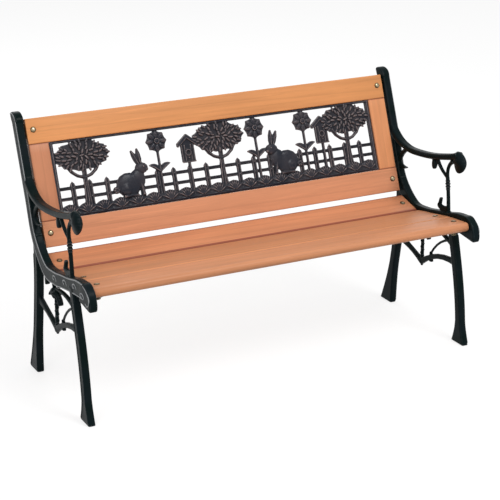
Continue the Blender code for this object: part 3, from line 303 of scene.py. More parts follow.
def loft(bm, rings):
    """A closed skin over rings of equally many points, capped at both ends."""
    loops = [[bm.verts.new(point) for point in ring] for ring in rings]
    for lower, upper in zip(loops, loops[1:]):
        bridge(bm, lower, upper)
    bm.faces.new(loops[0])
    bm.faces.new(loops[-1])


def outward(bm):
    """The same mesh with every face turned outward."""
    bmesh.ops.recalc_face_normals(bm, faces=bm.faces)
    return bm


def sweep(bm, points, radii, sides=8, flat=1.0, face=None):
    """A round bar along points, with a radius at each; flat thins it along face."""
    points = [Vector(point) for point in points]
    radii = [radii] * len(points) if isinstance(radii, float) else radii
    normal = None
    rings = []
    for i, point in enumerate(points):
        way = (points[min(i + 1, len(points) - 1)] - points[max(i - 1, 0)]).normalized()
        if face is not None:
            normal = Vector(face)
        elif normal is None:
            normal = way.orthogonal()
        normal = (normal - way * normal.dot(way)).normalized()
        across = way.cross(normal)
        rings.append([point + radii[i] * (across * math.cos(angle) + flat * normal * math.sin(angle))
                      for angle in once_round(sides)])
    loft(bm, rings)


def blob(bm, place, radii, turn=None, rows=9, sides=14):
    """An ellipsoid with a small flat at each pole."""
    matrix = Matrix.Translation(place) @ (turn or Matrix.Identity(4)) @ Matrix.Diagonal((*radii, 1))
    rings = []
    for row in range(rows):
        polar = math.pi * (0.04 + 0.92 * row / (rows - 1))
        reach, z = math.sin(polar), math.cos(polar)
        rings.append([matrix @ Vector((reach * math.cos(angle), reach * math.sin(angle), z))
                      for angle in once_round(sides)])
    loft(bm, rings)


def turned(bm, profile, sides=32):
    """A piece turned about Z from (radius, z) pairs."""
    loft(bm, [[(radius * math.cos(angle), radius * math.sin(angle), z) for angle in once_round(sides)]
              for radius, z in profile])


def ring_mesh(reaches, heights, sides=48):
    """A closed ring about Z: each loop has its reach by angle and its height."""
    bm = bmesh.new()
    loops = [[bm.verts.new((reach(a) * math.cos(a), reach(a) * math.sin(a), z)) for a in once_round(sides)]
             for reach, z in zip(reaches, heights)]
    for lower, upper in zip(loops, loops[1:] + loops[:1]):
        bridge(bm, lower, upper)
    return outward(bm)


def apply_modifiers(obj):
    view = bpy.context.evaluated_depsgraph_get()
    mesh = bpy.data.meshes.new_from_object(obj.evaluated_get(view))
    obj.modifiers.clear()
    obj.data = mesh


def reskin(obj, voxel, smoothing, keep=1.0):
    """One cast skin over everything in the object, with its edges softened and a share of its faces kept."""
    remesh = obj.modifiers.new("skin", "REMESH")
    remesh.mode = "VOXEL"
    remesh.voxel_size = voxel
    smooth = obj.modifiers.new("soften", "SMOOTH")
    smooth.factor = 0.5
    smooth.iterations = smoothing
    if keep < 1:
        thin = obj.modifiers.new("thin", "DECIMATE")
        thin.ratio = keep
    apply_modifiers(obj)
    obj.data.shade_smooth()
    return obj


def casting(name, node, relief, voxel, rounding, smoothing, keep):
    """A CAD node's shape with its edges rounded and relief cast onto it."""
    bm = bmesh.new()
    bm.from_mesh(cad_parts[node].data)
    bmesh.ops.remove_doubles(bm, verts=bm.verts, dist=WELD)
    blank = reskin(new_object("blank", bm), voxel, rounding)
    relief.from_mesh(blank.data)
    bpy.data.objects.remove(blank)
    return reskin(new_object(name, relief), voxel, smoothing, keep)


def mirrored(obj, name):
    """The left-hand twin of a right-hand piece."""
    mesh = obj.data.copy()
    mesh.transform(Matrix.Diagonal((-1, 1, 1, 1)))
    mesh.flip_normals()
    return add_object(name, mesh)


def smooth_by_angle(obj, degrees=32.0):
    obj.data.shade_smooth()
    obj.data.set_sharp_from_angle(angle=math.radians(degrees))


def dress(obj, material, slot, *nodes):
    """Gives a new piece its material and its place on the bench; the slot is not used."""
    obj.data.materials.clear()
    obj.data.materials.append(material)
    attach(obj, "root")
    if nodes:
        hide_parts(*nodes)


# Materials

def node_tree(name):
    material = bpy.data.materials.new(name)
    material.use_nodes = True
    tree = material.node_tree
    shader = tree.nodes["Principled BSDF"]
    return material, tree, shader


def add(tree, kind, inputs=None, **settings):
    """A node with its settings and its inputs, which are values or sockets."""
    node = tree.nodes.new(kind)
    for key, value in settings.items():
        setattr(node, key, value)
    for key, value in (inputs or {}).items():
        socket = node.inputs[key]
        if isinstance(value, bpy.types.NodeSocket):
            tree.links.new(value, socket)
        else:
            socket.default_value = value
    return node


def grey(value):
    return (value, value, value)


def ramp(tree, factor, stops):
    """A colour ramp over (place, colour) stops."""
    node = add(tree, "ShaderNodeValToRGB", {"Fac": factor})
    elements = node.color_ramp.elements
    while len(elements) < len(stops):
        elements.new(0.5)
    for element, (place, colour) in zip(elements, stops):
        element.position = place
        element.color = (*colour, 1)
    return node.outputs["Color"]


def mix(tree, factor, first, second, blend="MIX"):
    """Two colours mixed by a factor; each is a value or a socket."""
    node = add(tree, "ShaderNodeMix", data_type="RGBA", blend_type=blend)
    for key, value in ((0, factor), (6, first), (7, second)):
        if isinstance(value, bpy.types.NodeSocket):
            tree.links.new(value, node.inputs[key])
        else:
            node.inputs[key].default_value = value if key == 0 else (*value, 1)
    return node.outputs[2]


def noise(tree, place, scale, detail, roughness=0.5, distortion=0.0):
    inputs = {"Vector": place, "Scale": scale, "Detail": detail, "Roughness": roughness,
              "Distortion": distortion}
    return add(tree, "ShaderNodeTexNoise", inputs).outputs["Fac"]


def wood_material(name, offset, tone, axis=None, low=0.0, high=0.0):
    """Varnished hardwood with its grain along X, and a strip of painted shade at low and high along an axis,
    where the board meets its neighbour.
    """
    material, tree, shader = node_tree(name)

    def shade(lightness):
        return tuple(lightness * channel for channel in tone)

    place = add(tree, "ShaderNodeTexCoord").outputs["Object"]
    shifted = add(tree, "ShaderNodeMapping", {"Vector": place, "Location": offset}).outputs["Vector"]

    def stretched(scale):
        return add(tree, "ShaderNodeMapping", {"Vector": shifted, "Scale": scale}).outputs["Vector"]

    bands = noise(tree, stretched((0.8, 9.0, 9.0)), 3.0, 3.0, 0.6, 0.5)
    streaks = noise(tree, stretched((1.6, 75.0, 75.0)), 2.0, 4.0, 0.6, 0.8)
    pores = noise(tree, stretched((16.0, 480.0, 480.0)), 2.0, 3.0, 0.6)
    waves = {"Vector": stretched((0.30, 9.0, 9.0)), "Scale": 3.2, "Distortion": 6.0, "Detail": 3.0,
             "Detail Scale": 1.2, "Detail Roughness": 0.6}
    wave = add(tree, "ShaderNodeTexWave", waves, wave_type="BANDS", bands_direction="DIAGONAL")
    figure = wave.outputs["Fac"]
    ground = ramp(tree, bands, [(0.30, shade(0.86)), (0.50, shade(0.97)), (0.72, shade(1.08))])
    figured = mix(tree, ramp(tree, figure, [(0.72, grey(0.0)), (0.97, grey(0.30))]), ground, shade(0.74))
    pale = mix(tree, ramp(tree, streaks, [(0.57, grey(0.0)), (0.74, grey(0.55))]), figured, shade(1.28))
    dark = mix(tree, ramp(tree, streaks, [(0.27, grey(0.60)), (0.42, grey(0.0))]), pale, shade(0.70))
    pored = mix(tree, ramp(tree, pores, [(0.58, grey(0.0)), (0.80, grey(0.40))]), dark, shade(0.55))
    if axis:
        half = (high - low) / 2
        along = add(tree, "ShaderNodeSeparateXYZ", {"Vector": place}).outputs[axis]
        off = add(tree, "ShaderNodeMath", {0: along, 1: (low + high) / 2}, operation="SUBTRACT").outputs[0]
        far = add(tree, "ShaderNodeMath", {0: off}, operation="ABSOLUTE").outputs[0]
        # Painted shade: a darker, redder strip along the seam, where the gap between boards falls into
        # shadow
        near = add(tree, "ShaderNodeMapRange", {"Value": far, "From Min": half - SEAM_SHADE, "From Max": half})
        seam_shade_mask = ramp(tree, near.outputs["Result"], [(0.0, grey(0.0)), (0.5, grey(0.9))])
        seam_shade = tuple(share * channel for share, channel in zip((0.40, 0.24, 0.28), tone))
        pored = mix(tree, seam_shade_mask, pored, seam_shade)
    tree.links.new(pored, shader.inputs["Base Color"])
    tree.links.new(ramp(tree, bands, [(0.2, grey(0.38)), (0.8, grey(0.50))]), shader.inputs["Roughness"])
    bump = add(tree, "ShaderNodeBump", {"Height": pores, "Strength": 0.10, "Distance": 0.0004})
    tree.links.new(bump.outputs["Normal"], shader.inputs["Normal"])
    shader.inputs["Specular IOR Level"].default_value = 0.20
    shader.inputs["Coat Weight"].default_value = 0.08
    shader.inputs["Coat Roughness"].default_value = 0.28
    return material


def cast_material(name, low, high, rub_and_highlight, hollow_shade, sand, specular):
    """Painted casting: mottled colour, painted shade in its hollows, ridges lightened by a rubbed finish and
    a painted highlight, and a sand-cast skin.
    """
    material, tree, shader = node_tree(name)
    place = add(tree, "ShaderNodeTexCoord").outputs["Object"]
    cloud = noise(tree, place, 26.0, 4.0)
    skin = noise(tree, place, 900.0, 2.0)
    lumps = noise(tree, place, 240.0, 3.0)
    ridges = add(tree, "ShaderNodeNewGeometry").outputs["Pointiness"]
    ground = ramp(tree, cloud, [(0.36, low), (0.64, high)])
    # Painted shade: darker colour where the surface curves into a hollow
    hollow_shade_mask = ramp(tree, ridges, [(0.455, grey(1.0)), (0.500, grey(0.0))])
    shaded = mix(tree, hollow_shade_mask, ground, hollow_shade)
    # Lighter ridges: partly a rubbed finish, partly a painted highlight
    rub_and_highlight_mask = ramp(tree, ridges, [(0.512, grey(0.0)), (0.560, grey(1.0))])
    patches = ramp(tree, lumps, [(0.30, grey(0.40)), (0.65, grey(1.0))])
    patchy = mix(tree, 1.0, rub_and_highlight_mask, patches, "MULTIPLY")
    tree.links.new(mix(tree, patchy, shaded, rub_and_highlight), shader.inputs["Base Color"])
    tree.links.new(ramp(tree, cloud, [(0.30, grey(0.22)), (0.72, grey(0.38))]), shader.inputs["Roughness"])
    height = mix(tree, 0.35, skin, lumps)
    bump = add(tree, "ShaderNodeBump", {"Height": height, "Strength": sand, "Distance": 0.0006})
    tree.links.new(bump.outputs["Normal"], shader.inputs["Normal"])
    shader.inputs["Specular IOR Level"].default_value = specular
    return material


def plated_material(name, middle, edge, reach):
    """Yellow-plated steel with a painted highlight at its middle and painted shade towards its edge, at
    reach from its axis.
    """
    material, tree, shader = node_tree(name)
    place = add(tree, "ShaderNodeTexCoord").outputs["Object"]
    scaled = {0: place, 1: (1 / reach, 1 / reach, 0)}
    flat = add(tree, "ShaderNodeVectorMath", scaled, operation="MULTIPLY").outputs[0]
    out = add(tree, "ShaderNodeVectorMath", {0: flat}, operation="LENGTH").outputs["Value"]
    cloud = noise(tree, place, 420.0, 3.0)
    # Painted highlight at the middle of the head and painted shade towards its rim
    plate_highlight_and_shade = ramp(tree, out, [(0.30, middle), (0.52, edge), (0.80, tuple(0.35 * c for c in edge))])
    tarnish = ramp(tree, cloud, [(0.35, grey(0.55)), (0.65, grey(1.0))])
    tree.links.new(mix(tree, 1.0, plate_highlight_and_shade, tarnish, "MULTIPLY"), shader.inputs["Base Color"])
    tree.links.new(ramp(tree, cloud, [(0.3, grey(0.22)), (0.7, grey(0.38))]), shader.inputs["Roughness"])
    shader.inputs["Metallic"].default_value = 1.0
    return material


# On the iron, the ridge colour is a painted highlight and the hollow colour is a painted shade
IRON = cast_material("cast_iron_paint", low=(0.0020, 0.0084, 0.0080), high=(0.0058, 0.0112, 0.0138),
                     rub_and_highlight=(0.110, 0.120, 0.130), hollow_shade=(0.0010, 0.0024, 0.0026), sand=0.16, specular=0.05)
# A much lighter copy of the iron paint for the raised lines: a painted highlight on them
HIGHLIT_IRON = cast_material("highlit_iron_paint", low=(0.070, 0.074, 0.080), high=(0.250, 0.260, 0.275),
                          rub_and_highlight=(0.320, 0.330, 0.340), hollow_shade=(0.030, 0.032, 0.035), sand=0.12, specular=0.30)
# On the bronze, the reddish ridge colour is a rubbed finish with a painted highlight, and the hollow colour
# is a painted shade
BRONZE = cast_material("dark_bronze_paint", low=(0.015, 0.018, 0.028), high=(0.036, 0.034, 0.042),
                       rub_and_highlight=(0.400, 0.320, 0.310), hollow_shade=(0.0008, 0.0008, 0.0010), sand=0.20, specular=0.15)
# The bright middle colour is a painted highlight, and the dark edge colour is a painted shade
ZINC = plated_material("yellow_zinc_plate", middle=(0.58, 0.48, 0.32), edge=(0.24, 0.19, 0.11), reach=0.0072)
BEECH = wood_material("beech_dowel", (0.0, 0.0, 0.0), (0.70, 0.50, 0.31))


# Wooden boards: each one's tone, and how far its grain is shifted along, across and up

SLAT_TONES = {"front": (0.66, 0.28, 0.135), "middle": (0.66, 0.275, 0.125), "rear": (0.71, 0.288, 0.143)}
RAIL_TONES = {"bottom": (0.68, 0.290, 0.150), "top": (0.76, 0.320, 0.116)}
# The right stile's lighter tone is painted light, and the left stile's darker, pinker tone is painted shade
STILE_TONES = {"left": (0.59, 0.242, 0.123), "right": (0.78, 0.325, 0.142)}
SLAT_GRAIN, RAIL_GRAIN, STILE_GRAIN = (0.31, 0.17, 0.11), (0.27, 0.13, 0.05), (0.23, 0.19, 0.07)


def grain_place(shifts, number):
    """Where a board's grain starts, further on for each next board."""
    along, across, up = shifts
    return along * number, across * number, up


def board(name, length, low, high, radii, matrix, material, node):
    """A board along X with rounded edges and eased ends; low and high are its corners in (y, z)."""
    def section(shrink):
        corners = ((low[0], low[1]), (high[0], low[1]), (high[0], high[1]), (low[0], high[1]))
        inward = ((1, 1), (-1, 1), (-1, -1), (1, -1))
        outline = []
        for number, ((y, z), (in_y, in_z), radius) in enumerate(zip(corners, inward, radii)):
            first = math.pi * (1 + number / 2)
            reach = radius - shrink
            for step in range(CORNER_STEPS + 1):
                angle = first + math.pi / 2 * step / CORNER_STEPS
                outline.append((y + radius * in_y + reach * math.cos(angle),
                                z + radius * in_z + reach * math.sin(angle)))
        return outline

    ease = BOARD_EASE
    half = length / 2
    rings = [(-half, ease), (-half + 0.3 * ease, 0.3 * ease), (-half + ease, 0.0)]
    rings += [(half * share, 0.0) for share in (-0.75, -0.5, -0.25, 0.0, 0.25, 0.5, 0.75)]
    rings += [(half - ease, 0.0), (half - 0.3 * ease, 0.3 * ease), (half, ease)]
    bm = bmesh.new()
    loft(bm, [[(x, y, z) for y, z in section(shrink)] for x, shrink in rings])
    obj = new_object(name, outward(bm))
    smooth_by_angle(obj)
    obj.matrix_world = matrix
    dress(obj, material, "hardwood", node)


def boards():
    number = 0
    for name, (front, tilt, width) in LINES.items():
        nose = NOSE_RADIUS if name == "front" else SLAT_EDGE
        # Which edges of each slat get the strip of painted shade
        shade_span = {"front": (), "middle": ("Y", -width, width), "rear": ("Y", 0.0, width)}[name]
        grain = grain_place(SLAT_GRAIN, number)
        material = wood_material(f"slat_wood_{name}", grain, SLAT_TONES[name], *shade_span)
        place = Matrix.Translation((0, front.x + SHIFT_Y, front.y)) @ Matrix.Rotation(-tilt, 4, "X")
        edges = (nose, SLAT_EDGE, SLAT_EDGE, nose)
        board(f"slat_{name}", SLAT_LENGTH, (0, -SLAT_THICKNESS), (width, 0), edges, place, material,
              f"seat_slat_{name}")
        number += 1
    edges = (RAIL_EDGE,) * 4
    for name, low in (("bottom", 0.0), ("top", RAIL_HEIGHT + OPENING_HEIGHT)):
        material = wood_material(f"rail_wood_{name}", grain_place(RAIL_GRAIN, number), RAIL_TONES[name])
        high = (RAIL_THICKNESS, low + RAIL_HEIGHT)
        board(f"rail_{name}", RAIL_LENGTH, (0, low), high, edges, BACK, material, f"back_{name}_rail")
        number += 1
    half = STILE_WIDTH / 2
    end = OPENING_HEIGHT / 2 - CLEAR + 0.5 * SEAM_SHADE
    for name, way in (("left", -1), ("right", 1)):
        grain = grain_place(STILE_GRAIN, number)
        material = wood_material(f"stile_wood_{name}", grain, STILE_TONES[name], "X", -end, end)
        middle = (way * (RAIL_LENGTH - STILE_WIDTH) / 2, 0, RAIL_HEIGHT + OPENING_HEIGHT / 2)
        place = BACK @ Matrix.Translation(middle) @ Matrix.Rotation(-math.pi / 2, 4, "Y")
        board(f"stile_{name}", OPENING_HEIGHT - 2 * CLEAR, (0, -half), (RAIL_THICKNESS, half), edges, place,
              material, f"back_{name}_stile")
        number += 1


# Cast ends

def side(y, z, x=CAST_MIDDLE_X):
    """A point of the right-hand end, from the profile's y and z."""
    return Vector((x, y + SHIFT_Y, z))


def band_lines(bm):
    """Raised lines on the outer face: rims along the band, upright and cap, and a row of scrolls."""
    curve = band_curve(10)
    ways = []
    for i in range(len(curve)):
        ahead, behind = curve[min(i + 1, len(curve) - 1)], curve[max(i - 1, 0)]
        ways.append(Vector((ahead.x - behind.x, ahead.y - behind.y)).normalized())
    for edge in (-1, 1):
        points = []
        for station, way in zip(curve, ways):
            reach = edge * (station.z / 2 - LINE_INSET)
            y, z = station.x - way.y * reach, station.y + way.x * reach
            points.append(side(y, z, CAST_OUTER_X - LINE_SINK))
        sweep(bm, points, LINE_RADIUS)
    nose = curve_through(NOSE_LINE, 4)
    sweep(bm, [side(*point, CAST_OUTER_X - LINE_SINK) for point in nose], LINE_RADIUS)
    cap = [back_point(BACK_HEIGHT + rise * CAP_RISE, depth * UPRIGHT_DEPTH - PROUD)
           for rise, depth in CAP_LINE]
    sweep(bm, [side(*point, CAST_OUTER_X) for point in curve_through(cap, 4)], LINE_RADIUS)
    band_scroll(bm, NOSE_SCROLL, ways[0])
    for centre_y in SCROLL_PLACES:
        index = min(range(len(curve)), key=lambda i: abs(curve[i].x - centre_y) + (curve[i].y > UPRIGHT_LOW))
        band_scroll(bm, Vector(curve[index][:2]), ways[index])


def band_scroll(bm, middle, way):
    """A hooked scroll with its tail towards the front, on the band's outer face."""
    across = Vector((-way.y, way.x))
    points = [side(*(middle + way * p.x + across * p.y), CAST_OUTER_X - SCROLL_SINK)
              for p in curve_through(SCROLL_LINE, 4)]
    body = SCROLL_BODY * (len(points) - len(SCROLL_HEAD) - len(SCROLL_TAIL))
    sweep(bm, points, SCROLL_HEAD + body + SCROLL_TAIL)


def leg_relief(bm):
    """A rim along both edges of each leg's outer face."""
    for leg_y, top, flare, x in ((front_leg_y, FRONT_RIM_TOP, 1.5 * FOOT_RISE, LEG_OUTER_X),
                                 (rear_leg_y, REAR_RIM_TOP, 3 * FOOT_RISE, REAR_LEG_OUTER_X)):
        for edge in (-1, 1):
            points = []
            for step in range(LEG_RIM_STEPS + 1):
                z = LEG_RIM_LOW + (top - LEG_RIM_LOW) * step / LEG_RIM_STEPS
                spread = (FOOT_LENGTH - LEG_WIDTH) * max(1 - z / flare, 0) ** FOOT_BEND
                reach = (LEG_WIDTH + spread) / 2 - LINE_INSET
                points.append(side(leg_y(z) + edge * reach, z, x - LEG_RIM_SINK))
            sweep(bm, points, LEG_RIM_RADIUS)


def post_relief(bm):
    """Beads round the post, and a boss with a bud where the stretchers meet."""
    for z, radius in POST_BEADS:
        y = POST_Y - BEAD_FORWARD + POST_LEAN * max(z - POST_LEAN_LOW, 0) / POST_LEAN_HEIGHT
        blob(bm, side(y, z), (radius, radius, BEAD_RISE))
    blob(bm, side(JUNCTION.x, JUNCTION.y - BOSS_DROP), (BOSS_RADIUS,) * 3)
    blob(bm, side(JUNCTION.x, JUNCTION.y - BUD_DROP), (BUD_RADIUS,) * 3)


def flower_relief(bm):
    """Petals and a button on both faces of the flower."""
    for face in (-1, 1):
        x = CAST_MIDDLE_X + face * PETAL_X
        for angle in PETAL_ANGLES:
            y = FLOWER.x + PETAL_REACH * math.cos(angle)
            z = FLOWER.y + PETAL_REACH * math.sin(angle)
            blob(bm, side(y, z, x), PETAL_SIZE, Matrix.Rotation(angle, 4, "X"))
        blob(bm, side(FLOWER.x, FLOWER.y, x + face * BUTTON_RISE), BUTTON_SIZE)


def stem_relief(bm):
    """A spiral round the stem below the seat, and ribs on the petals and leaves of its flower."""
    rise = FLOWER.y - 0.6 * FLOWER_RADIUS - JUNCTION.y - SPIRAL_FOOT
    turns = []
    for step in range(SPIRAL_STEPS + 1):
        share = step / SPIRAL_STEPS
        angle = 2 * math.pi * SPIRAL_TURNS * share
        y = JUNCTION.x + SPIRAL_REACH_Y * math.cos(angle)
        z = JUNCTION.y + SPIRAL_FOOT + rise * share
        turns.append(side(y, z, CAST_MIDDLE_X + SPIRAL_REACH_X * math.sin(angle)))
    sweep(bm, turns, LINE_RADIUS, 7)
    for face in (-1, 1):
        for angle in PETAL_ANGLES:
            way = Vector((math.cos(angle), math.sin(angle)))
            rib = [side(*(FLOWER + reach * way), CAST_MIDDLE_X + face * x) for reach, x in PETAL_RIB]
            sweep(bm, rib, PETAL_RIB_RADII)
        for reach, sag in LEAVES:
            way = Vector(reach) * FLOWER_RADIUS
            left = Vector((-way.y, way.x)).normalized()
            rib = []
            for step in range(9):
                t = 0.2 + 0.8 * step / 8
                place = FLOWER + way * t + left * (4 * sag * VINE_WIDTH * t * (1 - t))
                rib.append(side(*place, CAST_MIDDLE_X + face * LEAF_RIB_X))
            sweep(bm, rib, LEAF_RIB_RADII)


def end_castings():
    """The right-hand end with its relief and raised lines, and the left-hand end as its mirror image."""
    relief = bmesh.new()
    for model in (leg_relief, post_relief, flower_relief, stem_relief):
        model(relief)
    right = casting("end_right", "right_end_frame", relief, END_VOXEL, rounding=10, smoothing=2, keep=0.35)
    lines = bmesh.new()
    band_lines(lines)
    right_lines = new_object("end_right_lines", outward(lines))
    right_lines.data.shade_smooth()
    left, left_lines = mirrored(right, "end_left"), mirrored(right_lines, "end_left_lines")
    for name, body, drawn in (("right", right, right_lines), ("left", left, left_lines)):
        dress(body, IRON, "cast_iron", f"{name}_end_frame")
        # The raised lines take the lighter iron paint, a painted highlight
        dress(drawn, HIGHLIT_IRON, "cast_iron")


# Cast panel

DEPTH_WAY = BACK.to_3x3() @ Vector((0, 1, 0))
PANEL_TURN = BACK.to_3x3().to_4x4()


def panel_point(x, z, deep=0.0):
    """A point of the panel: along, up from the opening's lower edge, and behind the panel's front."""
    return BACK @ Vector((x, PANEL_FRONT + deep, RAIL_HEIGHT + z))


def line(bm, places, radius, deep=0.0, taper=False):
    """A raised line on the panel through (x, z) places."""
    points = [panel_point(x, z, deep) for x, z in places]
    radii = [radius * (1 - 0.65 * i / (len(points) - 1)) for i in range(len(points))] if taper else radius
    sweep(bm, points, radii, 6)


def bent_line(bm, start, bend, end, radius, deep, taper=False):
    """A raised line on the panel that curves through three (x, z) places."""
    line(bm, [(p.x, p.y) for p in curve_through((start, bend, end), 4)], radius, deep, taper)


def lump(bm, x, z, wide, high, proud, deep=0.0, turn=0.0):
    """A rounded lump on the panel, which stands proud of its depth."""
    blob(bm, panel_point(x, z, deep), (wide, proud, high), PANEL_TURN @ Matrix.Rotation(turn, 4, "Y"))


def rim_relief(bm):
    """A line along each side of the rim."""
    half, low = PANEL_HALF - RIM_LINE_INSET, RIM_LINE_INSET
    high = OPENING_HEIGHT - RIM_LINE_TOP_INSET
    for a, b in (((-half, low), (half, low)), ((-half, high), (half, high)), ((-half, low), (-half, high)),
                 ((half, low), (half, high))):
        line(bm, (a, b), radius=0.0019, deep=0.0002)


def grass_relief(bm):
    """Blades that fan out of each tuft."""
    half = PANEL_HALF - RIM_SIDE / 2
    tufts = round(2 * half / TUFT_WIDTH)
    width = 2 * half / tufts
    rise = GRASS_HEIGHT - RIM_BOTTOM
    for tuft in range(tufts):
        x = -half + width * (tuft + 0.5)
        lump(bm, x, RIM_BOTTOM + 0.25 * rise, 0.47 * width, 0.62 * rise, proud=0.0022, deep=0.0006)
        for blade in range(-3, 4):
            lean = blade / 3
            tip = (x + 0.47 * width * lean, RIM_BOTTOM + rise * (1.02 - 0.60 * lean ** 2))
            low = (x + 0.06 * width * lean, RIM_BOTTOM - 0.001)
            bend = (x + 0.30 * width * lean, RIM_BOTTOM + 0.62 * (tip[1] - RIM_BOTTOM))
            points = [panel_point(*low, -0.0016), panel_point(*bend, -0.0014), panel_point(*tip, 0.0006)]
            sweep(bm, points, [0.0014, 0.0018, 0.0008], 6)


def tree_relief(bm, x, chance):
    """Leaves over the crown, and bark along the trunk and boughs."""
    crown_z = (OPENING_HEIGHT - CLEAR - RIM_TOP / 2 - 0.5 * CROWN_HEIGHT
               - CROWN_LOBE_DEPTH * CROWN_HEIGHT / CROWN_WIDTH)
    for ring, count in CROWN_RINGS:
        for number in range(count):
            angle = 2 * math.pi * (number + 0.5 * (count % 2)) / count + chance.uniform(-0.12, 0.12)
            reach = ring + chance.uniform(-0.05, 0.05)
            leaf_x = x + 0.5 * CROWN_WIDTH * reach * math.cos(angle)
            leaf_z = crown_z + 0.5 * CROWN_HEIGHT * reach * math.sin(angle)
            lump(bm, leaf_x, leaf_z, wide=0.0056, high=0.0025, proud=0.0026 + 0.0012 * (1 - ring),
                 deep=0.0004, turn=-angle + chance.uniform(-0.5, 0.5))
    for offset in (-0.32, 0.0, 0.32):
        places = []
        for step in range(7):
            share = step / 6
            width = TRUNK_WIDTH * (1.8 - 2.2 * share + 1.4 * share ** 2)
            places.append((x + offset * width + 0.0006 * math.sin(5 * share + 9 * offset),
                           RIM_BOTTOM + (crown_z - 0.35 * CROWN_HEIGHT - RIM_BOTTOM) * share))
        line(bm, places, radius=0.0013, deep=0.0014)
    for way in (-1, 1):
        fork = (x, crown_z - 0.75 * CROWN_HEIGHT)
        bend = (x + way * 0.17 * CROWN_WIDTH, crown_z - 0.60 * CROWN_HEIGHT)
        end = (x + way * 0.3 * CROWN_WIDTH, crown_z - 0.3 * CROWN_HEIGHT)
        bent_line(bm, fork, bend, end, radius=0.0022, deep=0.0018)


def flower_head_relief(bm, x):
    """Petals, a domed button ringed with seeds, a round stem and ribbed leaves."""
    z = OPENING_HEIGHT - RIM_TOP - BLOSSOM_RADIUS
    for number in range(8):
        angle = math.pi / 4 * number
        lump(bm, x + BLOSSOM_PETAL_REACH * math.cos(angle), z + BLOSSOM_PETAL_REACH * math.sin(angle),
             wide=0.0082, high=0.0046, proud=0.0024, deep=0.0004, turn=-angle)
    lump(bm, x, z, wide=0.0068, high=0.0068, proud=0.0040, deep=0.0004)
    for number in range(10):
        angle = math.pi / 5 * number
        lump(bm, x + BLOSSOM_SEED_REACH * math.cos(angle), z + BLOSSOM_SEED_REACH * math.sin(angle),
             wide=0.0012, high=0.0012, proud=0.0012, deep=-0.0025)
    line(bm, ((x, RIM_BOTTOM), (x, 0.5 * z), (x, z - BLOSSOM_RADIUS)), radius=0.0022, deep=0.0016)
    for way in (-1, 1):
        start = (x, FENCE_HEIGHT)
        bend = (x + way * 0.62 * BLOSSOM_RADIUS, FENCE_HEIGHT + 0.50 * BLOSSOM_RADIUS)
        end = (x + way * 1.1 * BLOSSOM_RADIUS, FENCE_HEIGHT + 0.7 * BLOSSOM_RADIUS)
        bent_line(bm, start, bend, end, radius=0.0014, deep=0.0010, taper=True)


def fence_relief(bm):
    """Eased boards with a line of grain, and nails where pales cross rails."""
    half = PANEL_HALF - RIM_SIDE / 2
    rails = (GRASS_HEIGHT + FENCE_RAIL, FENCE_HEIGHT - 1.5 * FENCE_RAIL)
    for low in rails:
        for share in (0.28, 0.72):
            z = low + share * FENCE_RAIL
            line(bm, ((-half, z), (half, z)), radius=0.0010, deep=0.0035)
    count = int((half - PALE_WIDTH) / PALE_SPACING)
    for number in range(-count, count + 1):
        x = number * PALE_SPACING
        for offset in (-0.3, 0.3):
            edge = x + offset * PALE_WIDTH
            line(bm, ((edge, RIM_BOTTOM), (edge, FENCE_HEIGHT)), radius=0.0013, deep=0.0030)
        for low in rails:
            lump(bm, x, low + 0.5 * FENCE_RAIL, wide=0.0013, high=0.0013, proud=0.0012, deep=0.0030)


def rabbit_relief(bm, x, facing):
    """A rounded body, haunch, head, eye, tail, ears and feet."""
    size = RABBIT_LENGTH
    ground = GRASS_HEIGHT - 0.06 * size

    def at(across, up):
        return x + facing * across * size, ground + up * size

    def bulge(across, up, wide, high, proud):
        lump(bm, *at(across, up), wide * size, high * size, proud, 0.0003)

    bulge(-0.10, 0.34, wide=0.34, high=0.31, proud=0.0040)
    bulge(0.18, 0.46, wide=0.20, high=0.25, proud=0.0036)
    bulge(0.33, 0.74, wide=0.175, high=0.140, proud=0.0042)
    bulge(0.46, 0.70, wide=0.060, high=0.055, proud=0.0036)
    bulge(-0.19, 0.24, wide=0.17, high=0.19, proud=0.0056)
    for degrees in range(0, 360, 60):
        angle = math.radians(degrees)
        bulge(-0.47 + 0.045 * math.cos(angle), 0.24 + 0.045 * math.sin(angle),
              wide=0.045, high=0.045, proud=0.0028)
    for start, end in (((0.28, 0.82), (0.10, 1.24)), ((0.32, 0.84), (0.28, 1.28))):
        middle = (0.5 * (start[0] + end[0]), 0.5 * (start[1] + end[1]))
        points = [panel_point(*at(*p), 0.0014) for p in (start, middle, end)]
        sweep(bm, points, [0.0026, 0.0046, 0.0014], sides=10, flat=0.5, face=DEPTH_WAY)
        line(bm, [at(*start), at(*middle), at(*end)], radius=0.0011, deep=-0.0006, taper=True)
    line(bm, [at(0.22, 0.42), at(0.27, 0.20), at(0.29, 0.03)], radius=0.0032)
    line(bm, [at(-0.28, 0.045), at(-0.05, 0.05), at(0.13, 0.04)], radius=0.0032)
    lump(bm, *at(0.37, 0.775), wide=0.0018, high=0.0018, proud=0.0018, deep=-0.0034)


